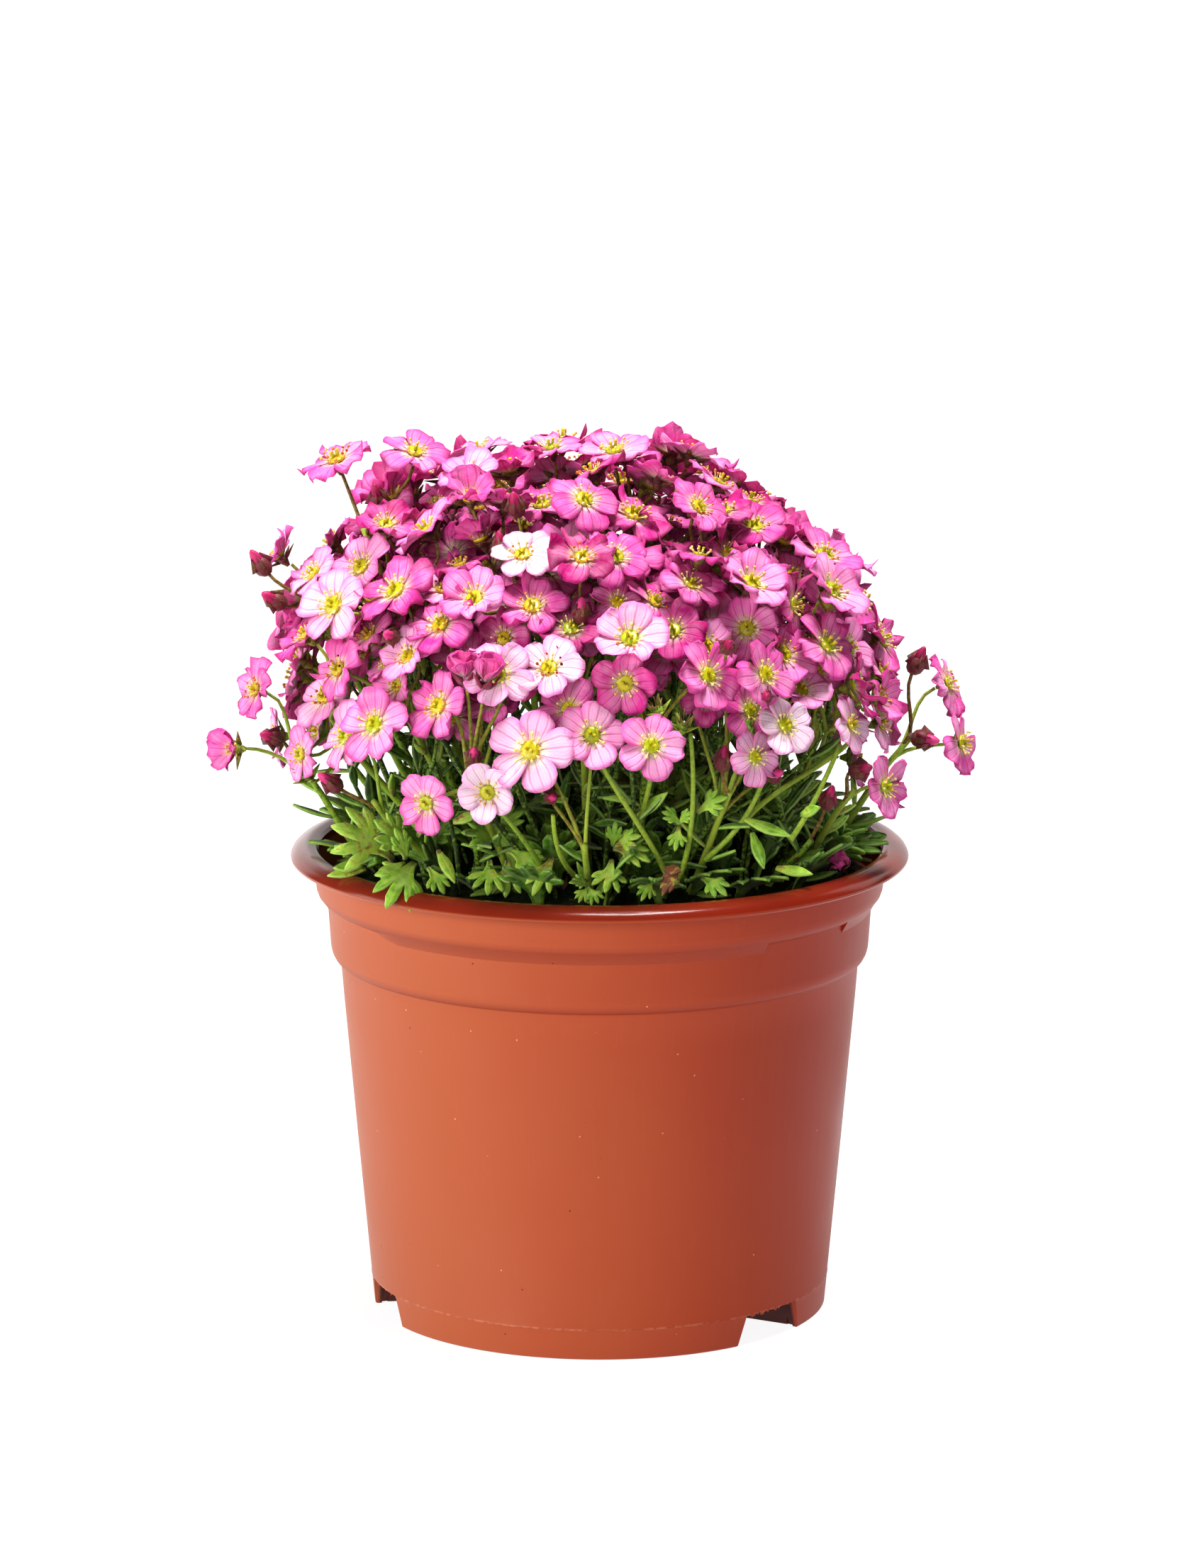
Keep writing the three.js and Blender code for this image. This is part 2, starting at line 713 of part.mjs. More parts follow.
// How far a point lies inside its clump's own room, between two upright planes and the crown's cone.
function roomIn(clump, point) {
  const flat = Math.hypot(point.x, point.y);
  const pastCone = flat - crownTangent * (point.z - fanHeight);
  if (clump === ringClumps) {
    return -pastCone;
  }
  const wedge = (2 * Math.PI) / ringClumps;
  const turn = Math.atan2(point.y, point.x) - (clump + 0.5) * wedge;
  const off = Math.abs(Math.atan2(Math.sin(turn), Math.cos(turn)));
  return Math.min(pastCone, flat * Math.sin(Math.min(wedge / 2 - off, 1.5)));
}

function inPot(point) {
  const flat = Math.hypot(point.x, point.y);
  return point.z > cushionBase && flat < 60.5 && (flat < innerSteps[0][0] - 1 || point.z > rimTop + 0.8);
}

function leafPoint(leaf, across, along, lift) {
  const arch = 0.4 * along * (1 - along) - 0.12 * across * across;
  return leaf.root.clone()
    .addScaledVector(leaf.along, leaf.length * along)
    .addScaledVector(leaf.across, leaf.length * across)
    .addScaledVector(leaf.normal, leaf.length * arch + lift);
}

function leafOutline(leaf) {
  const right = leafHalf.map(([x, y]) => leafPoint(leaf, x, y, 0));
  const left = leafHalf.map(([x, y]) => leafPoint(leaf, -x, y, 0)).reverse();
  return [...right, leafPoint(leaf, 0, 1, 0), ...left];
}

function makeLeaf(root, azimuth, rise, length) {
  const flat = Math.cos(rise);
  const along = vector(Math.cos(azimuth) * flat, Math.sin(azimuth) * flat, Math.sin(rise));
  const across = vector(Math.sin(azimuth), -Math.cos(azimuth), 0);
  const leaf = { root, along, across, normal: across.clone().cross(along), length };
  leaf.centre = leafPoint(leaf, 0, leafPalm, 0);
  leaf.radius = 0.52 * length;
  const outline = leafOutline(leaf);
  leaf.edges = outline.map((point, k) => [point, outline[(k + 1) % outline.length]]);
  return leaf;
}

function crossings(leaf, leaves, sprays) {
  const stems = sprays.filter((spray) => segmentMeetsBlade(footOf(spray), spray.hub, leaf, 0.9, 0.5));
  return stems.length + leaves.filter((other) => bladesMeet(leaf, other)).length;
}

function leafIsClear(leaf, clump, sprays) {
  const inside = leaf.edges.every(([point, next], k) => {
    const atRoot = k === 0 || k >= leaf.edges.length - 2;
    const between = point.clone().lerp(next, 0.5);
    const inner = point.clone().lerp(leaf.centre, 0.5);
    return roomIn(clump, point) > clumpGap && (atRoot || (inPot(point) && inPot(between) && inPot(inner)));
  });
  return inside && roomIn(clump, leaf.centre) > clumpGap + 0.6
    && sprays.every((spray) => sprayMissesLeaf(spray, leaf));
}

function sprayMissesLeaf(spray, leaf) {
  if (spray.hub.distanceTo(leaf.centre) > 45) {
    return true;
  }
  const low = spray.hub.clone().addScaledVector(spray.direction, -5);
  const high = spray.hub.clone().addScaledVector(spray.direction, 3);
  const lines = [[low, high, 1.6]];
  spray.buds.forEach((bud) => {
    lines.push([bud.hub, bud.base, 0.9], [bud.base, bud.tip, 2]);
  });
  spray.blooms.forEach((bloom) => {
    const neck = neckOf(bloom);
    lines.push([bloom.hub, neck, 0.9], [neck, bloom.centre, 2]);
  });
  return lines.every(([from, to, margin]) => !segmentMeetsBlade(from, to, leaf, 1.8, margin))
    && spray.blooms.every((bloom) => !bladesMeet(bloom, leaf, 1.8, 0.8));
}

function laidLeaves(sprays) {
  const draw = seededDraw(7301);
  const leaves = [];
  for (let i = 0; i < leafCount; i += 1) {
    const share = (i + 0.5) / leafCount;
    const [inner, outer] = leafZone;
    const flat = Math.sqrt(inner * inner + share * (outer * outer - inner * inner)) + draw(-1, 1);
    const azimuth = i * goldenAngle + draw(-0.06, 0.06);
    const heading = azimuth + draw(-0.7, 0.7);
    const rise = 1.25 - 0.65 * share + draw(-0.15, 0.15);
    const length = draw(...leafSizes);
    const root = leafRoot(flat, azimuth);
    const leaf = bestLeaf({ root, heading, rise, length }, leaves, sprays);
    if (leaf) {
      leaves.push(leaf);
    }
  }
  return leaves;
}

// A leaf's root lies in the crown's core or in a ring clump's core, and never between them.
function leafRoot(flat, azimuth) {
  const radius = flat < 18.5 ? Math.min(flat, 14) : Math.max(flat, 21.5);
  return vector(radius * Math.cos(azimuth), radius * Math.sin(azimuth), coreTop(radius) - 1.4);
}

// Of the ways a leaf can lie clear of every bloom, takes the first that crosses the fewest others.
function bestLeaf(wish, leaves, sprays) {
  const clump = clumpOf(wish.root);
  const mates = leaves.filter((leaf) => leaf.clump === clump);
  let best = null;
  let fewest = Infinity;
  for (const shrink of [1, 0.8]) {
    for (const lift of leafLifts) {
      for (const turn of leafTurns) {
        const leaf = makeLeaf(wish.root, wish.heading + turn, wish.rise + lift, wish.length * shrink);
        const isClear = fewest > 0 && leafIsClear(leaf, clump, sprays);
        const count = isClear ? crossings(leaf, mates, sprays) : Infinity;
        if (count < fewest) {
          best = { ...leaf, clump };
          fewest = count;
        }
      }
    }
  }
  return best;
}

function leafSolid(leaf) {
  const points = leafOutline(leaf);
  const count = points.length;
  points.push(leafPoint(leaf, 0, leafPalm, leafThickness / 2));
  points.push(leafPoint(leaf, 0, leafPalm, -leafThickness / 2));
  const faces = [];
  for (let k = 0; k < count; k += 1) {
    const next = (k + 1) % count;
    faces.push([count, k, next], [count + 1, next, k]);
  }
  return body(points, faces);
}

function stemSolid(spray) {
  const top = spray.hub.clone().addScaledVector(spray.direction, -stalkBelow - clearance);
  return rod([{ at: footOf(spray), radius: stemRadius + 0.1 }, { at: top, radius: stemRadius }], false);
}

function ringCore(clump) {
  const section = [[46.5, cushionBase], ...coreHeights.slice(1).reverse()];
  section.push([crownTangent * (coreHeights[0][1] - fanHeight) + clumpGap + 0.6, coreHeights[0][1]]);
  section.push([crownTangent * (cushionBase - fanHeight) + clumpGap + 0.6, cushionBase]);
  const wedge = 360 / ringClumps;
  const count = section.length;
  const points = [];
  [-1, -0.34, 0.34, 1].forEach((side) => section.forEach(([radius, height]) => {
    const reach = wedge / 2 - THREE.MathUtils.radToDeg(Math.asin(clumpGap / radius));
    points.push(polarPoint(radius, (clump + 0.5) * wedge + side * reach, height));
  }));
  const faces = [];
  for (let k = 1; k + 1 < count; k += 1) {
    faces.push([0, k, k + 1], [3 * count, 3 * count + k + 1, 3 * count + k]);
  }
  for (let step = 0; step < 3; step += 1) {
    for (let k = 0; k < count; k += 1) {
      const [a, b] = [step * count + k, step * count + ((k + 1) % count)];
      faces.push([b, a, a + count], [b, a + count, b + count]);
    }
  }
  return body(points, faces);
}

function crownCore() {
  const section = [[0, cushionBase], [15.2, cushionBase], [16.8, 90], [13, 92.5], [0, 94]];
  return turned(section, 8);
}

function rootPlace(clump) {
  return clump === ringClumps ? vector(0, 0, 0) : polarPoint(32, ((clump + 0.5) * 360) / ringClumps, 0);
}

function makeClump(clump, sprays, leaves) {
  const core = clump === ringClumps ? crownCore() : ringCore(clump);
  const root = rootPost(rootPlace(clump), rootRadius, rootDepth, cushionBase + 1);
  const stems = sprays.filter((spray) => spray.clump === clump).map(stemSolid);
  const blades = leaves.filter((leaf) => leaf.clump === clump).map(leafSolid);
  return joined([core, root, ...stems, ...blades]);
}

const greenTone = { color: 0x5f8a32, roughness: 0.6, metalness: 0 };
const pinkTone = { color: 0xd673b4, roughness: 0.65, metalness: 0 };

const plant = layOut();
const group = new THREE.Group();

function addPiece(name, solid, tone) {
  const mesh = new THREE.Mesh(geometryFrom(solid), new THREE.MeshStandardMaterial(tone));
  mesh.name = name;
  group.add(mesh);
}

addPiece('pot', makePot(), { color: 0xb5492c, roughness: 0.42, metalness: 0 });
const clumps = Array.from({ length: ringClumps + 1 }, (_, index) => index);
const leaves = laidLeaves(plant);
addPiece('soil', makeSoil(clumps.map(rootPlace)), { color: 0x2b1f19, roughness: 0.95, metalness: 0 });
clumps.forEach((clump) => {
  const name = clump === ringClumps ? 'cushion_crown' : `cushion_${String(clump + 1).padStart(2, '0')}`;
  addPiece(name, makeClump(clump, plant, leaves), greenTone);
});
plant.forEach((spray, index) => {
  addPiece(`spray_${String(index + 1).padStart(2, '0')}`, makeSpray(spray), pinkTone);
});

export default group;
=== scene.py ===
# A mossy saxifrage in its nursery pot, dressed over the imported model.
# What grows is laid out in millimetres by the same rules as the model's solids, so each bloom, stalk
# and leaf lies where its solid does. Every mesh is scaled to metres when it is finished.
import math
import bmesh
import bpy
from mathutils import Matrix, Vector, noise


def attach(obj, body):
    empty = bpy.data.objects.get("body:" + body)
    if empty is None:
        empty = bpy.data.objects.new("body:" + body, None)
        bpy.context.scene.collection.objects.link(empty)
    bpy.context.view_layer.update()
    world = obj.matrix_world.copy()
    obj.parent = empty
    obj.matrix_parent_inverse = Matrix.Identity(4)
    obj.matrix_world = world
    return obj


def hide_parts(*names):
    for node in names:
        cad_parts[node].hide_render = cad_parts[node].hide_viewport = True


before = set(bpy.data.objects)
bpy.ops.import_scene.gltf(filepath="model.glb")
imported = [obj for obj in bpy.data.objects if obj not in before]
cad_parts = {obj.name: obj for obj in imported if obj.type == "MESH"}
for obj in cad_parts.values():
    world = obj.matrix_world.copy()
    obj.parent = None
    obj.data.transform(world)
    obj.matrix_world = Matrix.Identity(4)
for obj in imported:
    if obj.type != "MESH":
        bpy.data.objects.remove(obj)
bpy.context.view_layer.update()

goldenAngle = math.pi * (3 - math.sqrt(5))
metres = 0.001

dome = {
    "centre": (-2.5, 0.0, 112.0), "radii": (61.0, 60.0, 57.0), "leftShoulder": 4.0, "fanHeight": 40.0,
    "sprays": 40, "sprayReach": 1.09, "parting": 0.1, "lattice": 147, "latticeReach": 1.07,
    "frontEdge": 119.0, "sizes": (6.3, 8.0), "stalk": (14.0, 17.5),
    "depths": (0, -1.9, 1.6, -3.6, -5.4, 2.8, -7.2, -9), "firstNode": -2.2, "nodeStep": 1.9,
    "seed": 20251, "deepSeed": 611, "fillLattice": 560, "underLattice": 110,
    "deepLattice": 210, "deepSizes": (5.2, 6.6), "deepDepths": (-5, -7, -9, -11.5, -14),
}

# blooms that stand out in front: across, height, radius, and tone from white 0 to magenta 1
frontBlooms = [
    (-20.9, 113.5, 6.4, 0.02), (-12.7, 121.5, 8, 0.2), (-1.5, 125, 6.9, 0.34), (-9.5, 136.5, 6.7, 0.18),
    (5.5, 141.5, 7.4, 0.22), (20.1, 134.4, 7, 0.54), (28.5, 149, 7.8, 0.38), (34.7, 124, 6.1, 0.06),
    (47.6, 121.5, 5.6, 0.22), (43, 136.5, 7.4, 0.6), (-48, 120.5, 7, 0.3), (-32.5, 110.5, 6, 0.4),
    (-49.5, 132, 6.6, 0.55), (-36, 136.5, 6.2, 0.34), (-45.5, 149, 7.2, 0.4), (-33, 157, 7.5, 0.42),
    (-23.5, 147.5, 7.1, 0.44), (-14.6, 155, 6.2, 0.03), (17.5, 151, 6, 0.66), (-3, 163.5, 7, 0.6),
    (53.5, 124, 6, 0.58), (-57, 114.5, 5.6, 0.36),
]

# sprays that reach out of the dome: end of the stalk, blooms and buds, each with the way it faces
farSprays = [
    {"hub": (-57, -8, 107),
     "blooms": [(-70.5, -12, 112.5, 6.4, (-0.75, -0.6, 0.1)), (-66.5, -6, 123, 6.2, (-0.8, -0.45, 0.35))],
     "buds": [(-64.5, -15.5, 116, (-0.6, -0.7, 0.35))]},
    {"hub": (57.5, -4, 110),
     "blooms": [(70, -6, 112.5, 6.5, (0.93, -0.3, 0.15)), (67.5, -2, 123.5, 6.2, (0.9, -0.25, 0.4))],
     "buds": [(62, -10, 131.5, (0.4, -0.2, 0.9)), (64.5, -14, 114.5, (0.8, -0.5, 0))]},
    {"hub": (-43, -2, 151),
     "blooms": [(-50.5, -3, 167.5, 7.6, (-0.3, -0.35, 0.9)), (-35.5, 0, 168.5, 6.6, (0.1, -0.3, 0.95))],
     "buds": [(-43, -9, 163, (-0.2, -0.5, 0.85))]},
    {"hub": (-54, -6, 138),
     "blooms": [(-62, 4, 147.5, 6.2, (-0.8, 0.1, 0.6))],
     "buds": [(-66.5, -8, 150, (-0.55, -0.2, 0.8)), (-64, -14, 143, (-0.7, -0.5, 0.5))]},
    {"hub": (46.5, -22, 104),
     "blooms": [(54.5, -26, 108, 6.2, (0.75, -0.6, 0.1))],
     "buds": [(51, -32, 113, (0.6, -0.7, 0.3))]},
]


def seededDraw(seed):
    state = seed

    def draw(low, high):
        nonlocal state
        state = (state * 1664525 + 1013904223) & 0xFFFFFFFF
        return low + (high - low) * state / 4294967296

    return draw


def plus(a, b, share=1.0):
    return (a[0] + b[0] * share, a[1] + b[1] * share, a[2] + b[2] * share)


def minus(a, b):
    return (a[0] - b[0], a[1] - b[1], a[2] - b[2])


def dot(a, b):
    return a[0] * b[0] + a[1] * b[1] + a[2] * b[2]


def cross(a, b):
    return (a[1] * b[2] - a[2] * b[1], a[2] * b[0] - a[0] * b[2], a[0] * b[1] - a[1] * b[0])


def unit(a):
    length = math.sqrt(dot(a, a))
    return (a[0] / length, a[1] / length, a[2] / length)


def apart(a, b):
    return math.sqrt((a[0] - b[0]) ** 2 + (a[1] - b[1]) ** 2 + (a[2] - b[2]) ** 2)


def polar(flat, azimuth, height):
    return (flat * math.cos(azimuth), flat * math.sin(azimuth), height)


# Where everything grows

clumps = {"ring": 8, "crownTangent": 0.36, "gap": 0.45, "stemRadius": 0.8, "soilTop": 85.0}


def domePoint(cosTurn, azimuth):
    sinTurn = math.sqrt(max(0.0, 1 - cosTurn * cosTurn))
    ray = polar(sinTurn, azimuth, cosTurn)
    shoulder = dome["leftShoulder"] * (2 * sinTurn * cosTurn) ** 2 * max(0.0, -ray[0])
    grow = 1 + (shoulder / 60 if cosTurn > 0 else 0)
    return tuple(r * s * grow + c for r, s, c in zip(ray, dome["radii"], dome["centre"]))


def domeNormal(point):
    out = unit(tuple((p - c) / r / r for p, c, r in zip(point, dome["centre"], dome["radii"])))
    return unit((out[0], out[1], out[2] + 0.15))


def domeLattice(count, reach, start, jitter, draw):  # points spread over the dome, each with the way out
    for i in range(count):
        azimuth = i * goldenAngle + start + draw(-jitter, jitter)
        point = domePoint(1 - reach * (i + 0.5) / count, azimuth)
        yield point, domeNormal(point)


def frontPoint(x, z):
    across = (x - dome["centre"][0]) / dome["radii"][0]
    up = (z - dome["centre"][2]) / dome["radii"][2]
    return (x, -dome["radii"][1] * math.sqrt(max(0.0, 1 - across * across - up * up)), z)


def fromFan(point):
    return unit((point[0], point[1], point[2] - dome["fanHeight"]))


def settle(direction):  # turns a stalk away from the planes and the cone that part the clumps
    flat = math.hypot(direction[0], direction[1])
    limit = clumps["crownTangent"]
    inCrown = flat / direction[2] < limit
    tangent = min(flat / direction[2], limit - 0.04) if inCrown else max(flat / direction[2], limit + 0.04)
    wedge = 2 * math.pi / clumps["ring"]
    azimuth = math.atan2(direction[1], direction[0])
    clump = clumps["ring"]
    if not inCrown:
        swept = (azimuth + 2 * math.pi) % (2 * math.pi)
        clump = math.floor(swept / wedge)
        foot = tangent * (clumps["soilTop"] - dome["fanHeight"])
        room = wedge / 2 - math.asin((clumps["stemRadius"] + 0.6) / foot)
        middle = (clump + 0.5) * wedge
        azimuth = middle + max(-room, min(room, swept - middle))
    return unit(polar(tangent, azimuth, 1.0)), clump


def newSpray(hub):
    direction, clump = settle(fromFan(hub))
    fan = (0.0, 0.0, dome["fanHeight"])
    end = plus(fan, direction, apart(hub, fan))
    heads = {"blooms": [], "buds": [], "deep": [], "under": []}
    return {"hub": end, "direction": direction, "clump": clump, **heads}


def laidSprays(draw):
    sprays = [newSpray(far["hub"]) for far in farSprays]
    for top, _ in domeLattice(dome["sprays"], dome["sprayReach"], 0, 0.12, draw):
        spray = newSpray(plus(top, fromFan(top), -draw(*dome["stalk"])))
        if all(dot(other["direction"], spray["direction"]) < math.cos(dome["parting"]) for other in sprays):
            sprays.append(spray)
    return sprays


def segmentMeetsBlade(start, end, blade, half, margin):
    cx, cy, cz = blade["centre"]
    nx, ny, nz = blade["normal"]
    fx, fy, fz = start[0] - cx, start[1] - cy, start[2] - cz
    tx, ty, tz = end[0] - cx, end[1] - cy, end[2] - cz
    h0 = fx * nx + fy * ny + fz * nz
    h1 = tx * nx + ty * ny + tz * nz
    if (h0 > half and h1 > half) or (h0 < -half and h1 < -half):
        return False
    low, high = 0.0, 1.0
    if abs(h1 - h0) >= 1e-9:
        s0, s1 = (half - h0) / (h1 - h0), (-half - h0) / (h1 - h0)
        low, high = max(0.0, min(s0, s1)), min(1.0, max(s0, s1))
        if low > high:
            return False
    ax, ay, az = blade["across"]
    bx, by, bz = blade["along"]
    u0, v0 = fx * ax + fy * ay + fz * az, fx * bx + fy * by + fz * bz
    du, dv = tx * ax + ty * ay + tz * az - u0, tx * bx + ty * by + tz * bz - v0
    run = du * du + dv * dv
    nearest = low if run < 1e-12 else max(low, min(high, -(u0 * du + v0 * dv) / run))
    return math.hypot(u0 + nearest * du, v0 + nearest * dv) < blade["radius"] + margin


def bladeEdges(blade):
    tips = []
    for k in range(10):
        turn = k * math.pi / 5
        reach = blade["radius"] * (1 if k % 2 == 0 else 0.8)
        spot = plus(blade["centre"], blade["across"], reach * math.cos(turn))
        spot = plus(spot, blade["along"], reach * math.sin(turn))
        tips.append(plus(spot, blade["normal"], 0.1 * blade["radius"]))
    edges = [(tip, tips[(k + 1) % 10]) for k, tip in enumerate(tips)]
    return edges + [(blade["centre"], tip) for tip in tips[::2]]


def neckOf(bloom):
    return plus(bloom["centre"], bloom["normal"], -0.5 * bloom["radius"])


def bladesMeet(one, other, half=0.9, slack=0.35):
    if apart(one["centre"], other["centre"]) > one["radius"] + other["radius"] + 1.5:
        return False
    return any(segmentMeetsBlade(a, b, other, half, slack) for a, b in one["edges"]) or any(
        segmentMeetsBlade(a, b, one, half, slack) for a, b in other["edges"])


def stalkMeets(bloom, blade):
    neck = neckOf(bloom)
    return (segmentMeetsBlade(neck, bloom["hub"], blade, 1, 0.9)
            or segmentMeetsBlade(bloom["centre"], neck, blade, 1, 2))


def makeBloom(centre, normal, radius, spin, hub):
    side = (1.0, 0.0, 0.0) if abs(normal[2]) > 0.8 else (0.0, 0.0, 1.0)
    flat = unit(plus(side, normal, -dot(side, normal)))
    across = tuple(f * math.cos(spin) + t * math.sin(spin) for f, t in zip(flat, cross(normal, flat)))
    bloom = {"centre": centre, "normal": normal, "radius": radius, "across": across,
             "along": cross(normal, across), "hub": hub}
    bloom["edges"] = bladeEdges(bloom)
    return bloom


def budMeets(bud, bloom):
    return (segmentMeetsBlade(bud["base"], bud["tip"], bloom, 1, 2)
            or segmentMeetsBlade(bud["hub"], bud["base"], bloom, 1, 0.9))


def bloomIsClear(bloom, placed, sprays):
    for other in placed:
        if apart(other["centre"], bloom["centre"]) < 32 and (
                bladesMeet(bloom, other) or stalkMeets(bloom, other) or stalkMeets(other, bloom)):
            return False
    return all(not segmentMeetsBlade(other["foot"], other["hub"], bloom, 1, 1.3)
               and not any(budMeets(bud, bloom) for bud in other["buds"]) for other in sprays)


def stalkPoint(spray, step):
    return plus(spray["hub"], spray["direction"], step)


def nextNode(spray):
    taken = len(spray["blooms"]) + len(spray["buds"])
    return stalkPoint(spray, dome["firstNode"] + dome["nodeStep"] * taken)


def footOf(spray):
    rise = (clumps["soilTop"] + 1 - dome["fanHeight"]) / spray["direction"][2]
    return plus((0.0, 0.0, dome["fanHeight"]), spray["direction"], rise)


def nearestSpray(point, sprays):
    way = fromFan(point)
    return max(sprays, key=lambda spray: dot(way, spray["direction"]))


def tryBloom(wish, placed, sprays, depths, hub, shrinks=(1, 0.88, 0.76)):
    for shrink in shrinks:
        for depth in depths:
            centre = plus(wish["point"], wish["out"], depth)
            bloom = makeBloom(centre, wish["normal"], wish["radius"] * shrink, wish["spin"], hub)
            if bloomIsClear(bloom, placed, sprays):
                placed.append(bloom)
                return bloom
    return None


def jittered(normal, draw, amount):
    shift = (draw(-amount, amount), draw(-amount, amount), draw(-amount, amount))
    return unit(plus(shift, normal))


def toneAt(height, draw):  # deeper magenta towards the top of the dome
    return max(0.12, min(1.0, 0.44 + 0.16 * max(-1, min(1, (height - 130) / 25)) + draw(-0.28, 0.36)))


def wishFor(point, out, lean, size, draw):  # where a bloom would like to be
    normal = jittered(out, draw, lean)
    radius = draw(*size) if isinstance(size, tuple) else size
    return {"point": point, "out": out, "normal": normal, "radius": radius, "spin": draw(0, 1.2)}


def seatBloom(wish, tone, placed, sprays):  # on the nearest stalk of the dome, if there is room
    spray = nearestSpray(wish["point"], sprays[len(farSprays):])
    bloom = tryBloom(wish, placed, sprays, dome["depths"], nextNode(spray))
    if bloom:
        bloom["tone"] = tone
        spray["blooms"].append(bloom)


def isLowInFront(point, behind, above):
    return point[1] < behind and point[2] < dome["frontEdge"] + above


def domeBlooms(sprays, placed, draw, toneDraw):
    for x, z, radius, tone in frontBlooms:
        point = frontPoint(x, z)
        seatBloom(wishFor(point, domeNormal(point), 0.12, radius, draw), tone, placed, sprays)
    leading = list(placed)
    for point, out in domeLattice(dome["lattice"], dome["latticeReach"], 0, 0.03, draw):
        wish = wishFor(point, out, 0.2, dome["sizes"], draw)
        tone = toneAt(point[2], toneDraw)
        if not isLowInFront(point, -12, 0) and all(apart(other["centre"], point) > 8 for other in leading):
            seatBloom(wish, tone, placed, sprays)


def makeBud(tip, aim, length, hub):
    return {"tip": tip, "aim": aim, "length": length, "hub": hub, "base": plus(tip, aim, -length)}


def farHeads(sprays, placed):
    for far, spray in zip(farSprays, sprays):
        for k, (x, y, z, radius, normal) in enumerate(far["blooms"]):
            bloom = makeBloom((x, y, z), unit(normal), radius, k + 0.4, nextNode(spray))
            bloom["tone"] = 0.5
            spray["blooms"].append(bloom)
            placed.append(bloom)
        for x, y, z, aim in far["buds"]:
            spray["buds"].append(makeBud((x, y, z), unit(aim), 5.6, nextNode(spray)))


def domeBuds(sprays, placed, draw):
    for index, spray in enumerate(sprays[len(farSprays):]):
        for _ in range(5):
            aim = jittered(spray["direction"], draw, 0.3)
            tip = plus(spray["hub"], aim, draw(13, 20))
            budAim = jittered(aim, draw, 0.15)
            bud = makeBud(tip, budAim, draw(4.6, 5.8), nextNode(spray))
            if index % 3 != 2 and not spray["buds"] and not any(budMeets(bud, bloom) for bloom in placed):
                spray["buds"].append(bud)


def deepBlooms(sprays, placed, draw):  # smaller blooms in the shade, between and under the others
    for point, out in domeLattice(dome["deepLattice"], 1.02, 1.1, 0.1, draw):
        wish = wishFor(point, out, 0.35, dome["deepSizes"], draw)
        # painted shade: a deeper tone than at the surface of the dome
        tone = min(1.0, toneAt(point[2], draw) + 0.12)
        if isLowInFront(point, 5, 8):
            continue
        spray = nearestSpray(point, sprays[len(farSprays):])
        hub = stalkPoint(spray, -4.5 - 1.7 * len(spray["deep"]))
        bloom = tryBloom(wish, placed, sprays, dome["deepDepths"], hub, (1, 0.85))
        if bloom:
            bloom["tone"] = tone
            spray["deep"].append(bloom)


def fillBlooms(sprays, placed, draw):  # blooms that crowd in where the upper dome is still open
    for point, out in domeLattice(dome["fillLattice"], 1, 2.3, 0.1, draw):
        centre = plus(point, out, draw(-6.5, 0))
        spray = nearestSpray(point, sprays[len(farSprays):])
        hub = stalkPoint(spray, -3 - 1.5 * len(spray["deep"]))
        normal, radius = jittered(out, draw, 0.55), draw(5.6, 7.4)
        bloom = makeBloom(centre, normal, radius, draw(0, 1.2), hub)
        # painted shade: a little deeper in tone than at the surface of the dome
        bloom["tone"] = min(1.0, toneAt(point[2], draw) + 0.08)
        if isLowInFront(point, 5, 8):
            continue
        if all(apart(other["centre"], centre) > 0.54 * (other["radius"] + radius) for other in placed):
            placed.append(bloom)
            spray["deep"].append(bloom)


def underBlooms(sprays, placed, draw):  # a second layer in the shade, seen between the petals of the first
    for point, out in domeLattice(dome["underLattice"], 0.94, 0.4, 0.2, draw):
        centre = plus(point, out, draw(-14, -9))
        # painted shade: much deeper in tone than at the surface of the dome
        tone = min(1.0, toneAt(point[2], draw) + 0.2)
        spray = nearestSpray(point, sprays[len(farSprays):])
        bloom = makeBloom(centre, jittered(out, draw, 0.5), draw(6, 7.4), draw(0, 1.2), stalkPoint(spray, -9))
        if centre[2] > 128 and all(apart(other["centre"], centre) > 5.5 for other in placed):
            bloom["tone"] = tone
            spray["under"].append(bloom)
            placed.append(bloom)


def layOut():
    draw, toneDraw = seededDraw(dome["seed"]), seededDraw(dome["seed"] + 1)
    sprays = laidSprays(draw)
    for spray in sprays:
        spray["foot"] = footOf(spray)
    placed = []
    farHeads(sprays, placed)
    domeBlooms(sprays, placed, draw, toneDraw)
    domeBuds(sprays, placed, draw)
    grown = [spray for spray in sprays if spray["blooms"] or spray["buds"]]
    deepBlooms(sprays, placed, seededDraw(dome["deepSeed"]))
    fillBlooms(sprays, placed, seededDraw(dome["deepSeed"] + 1))
    underBlooms(sprays, placed, seededDraw(dome["deepSeed"] + 2))
    return grown


foliage = {
    "palm": 0.52, "count": 96, "sizes": (14, 18.5), "zone": (12, 44.8), "seed": 7301,
    "half": ((0.05, 0), (0.4, 0.6), (0.2, 0.66), (0.29, 0.9), (0.09, 0.75)),
    "core": ((18.5, 91.5), (32, 90.5), (42, 88.5), (47, 86.5)), "base": 85.3, "rimTop": 91.7, "wall": 53.1,
    "turns": (0, 0.45, -0.45, 0.9, -0.9), "lifts": (0, 0.2, 0.4, -0.2, 0.65),
}


def coreTop(radius):
    low = foliage["core"][0]
    for high in foliage["core"]:
        if radius <= high[0]:
            share = 0 if high[0] == low[0] else (radius - low[0]) / (high[0] - low[0])
            return low[1] + max(0, share) * (high[1] - low[1])
        low = high
    return low[1]


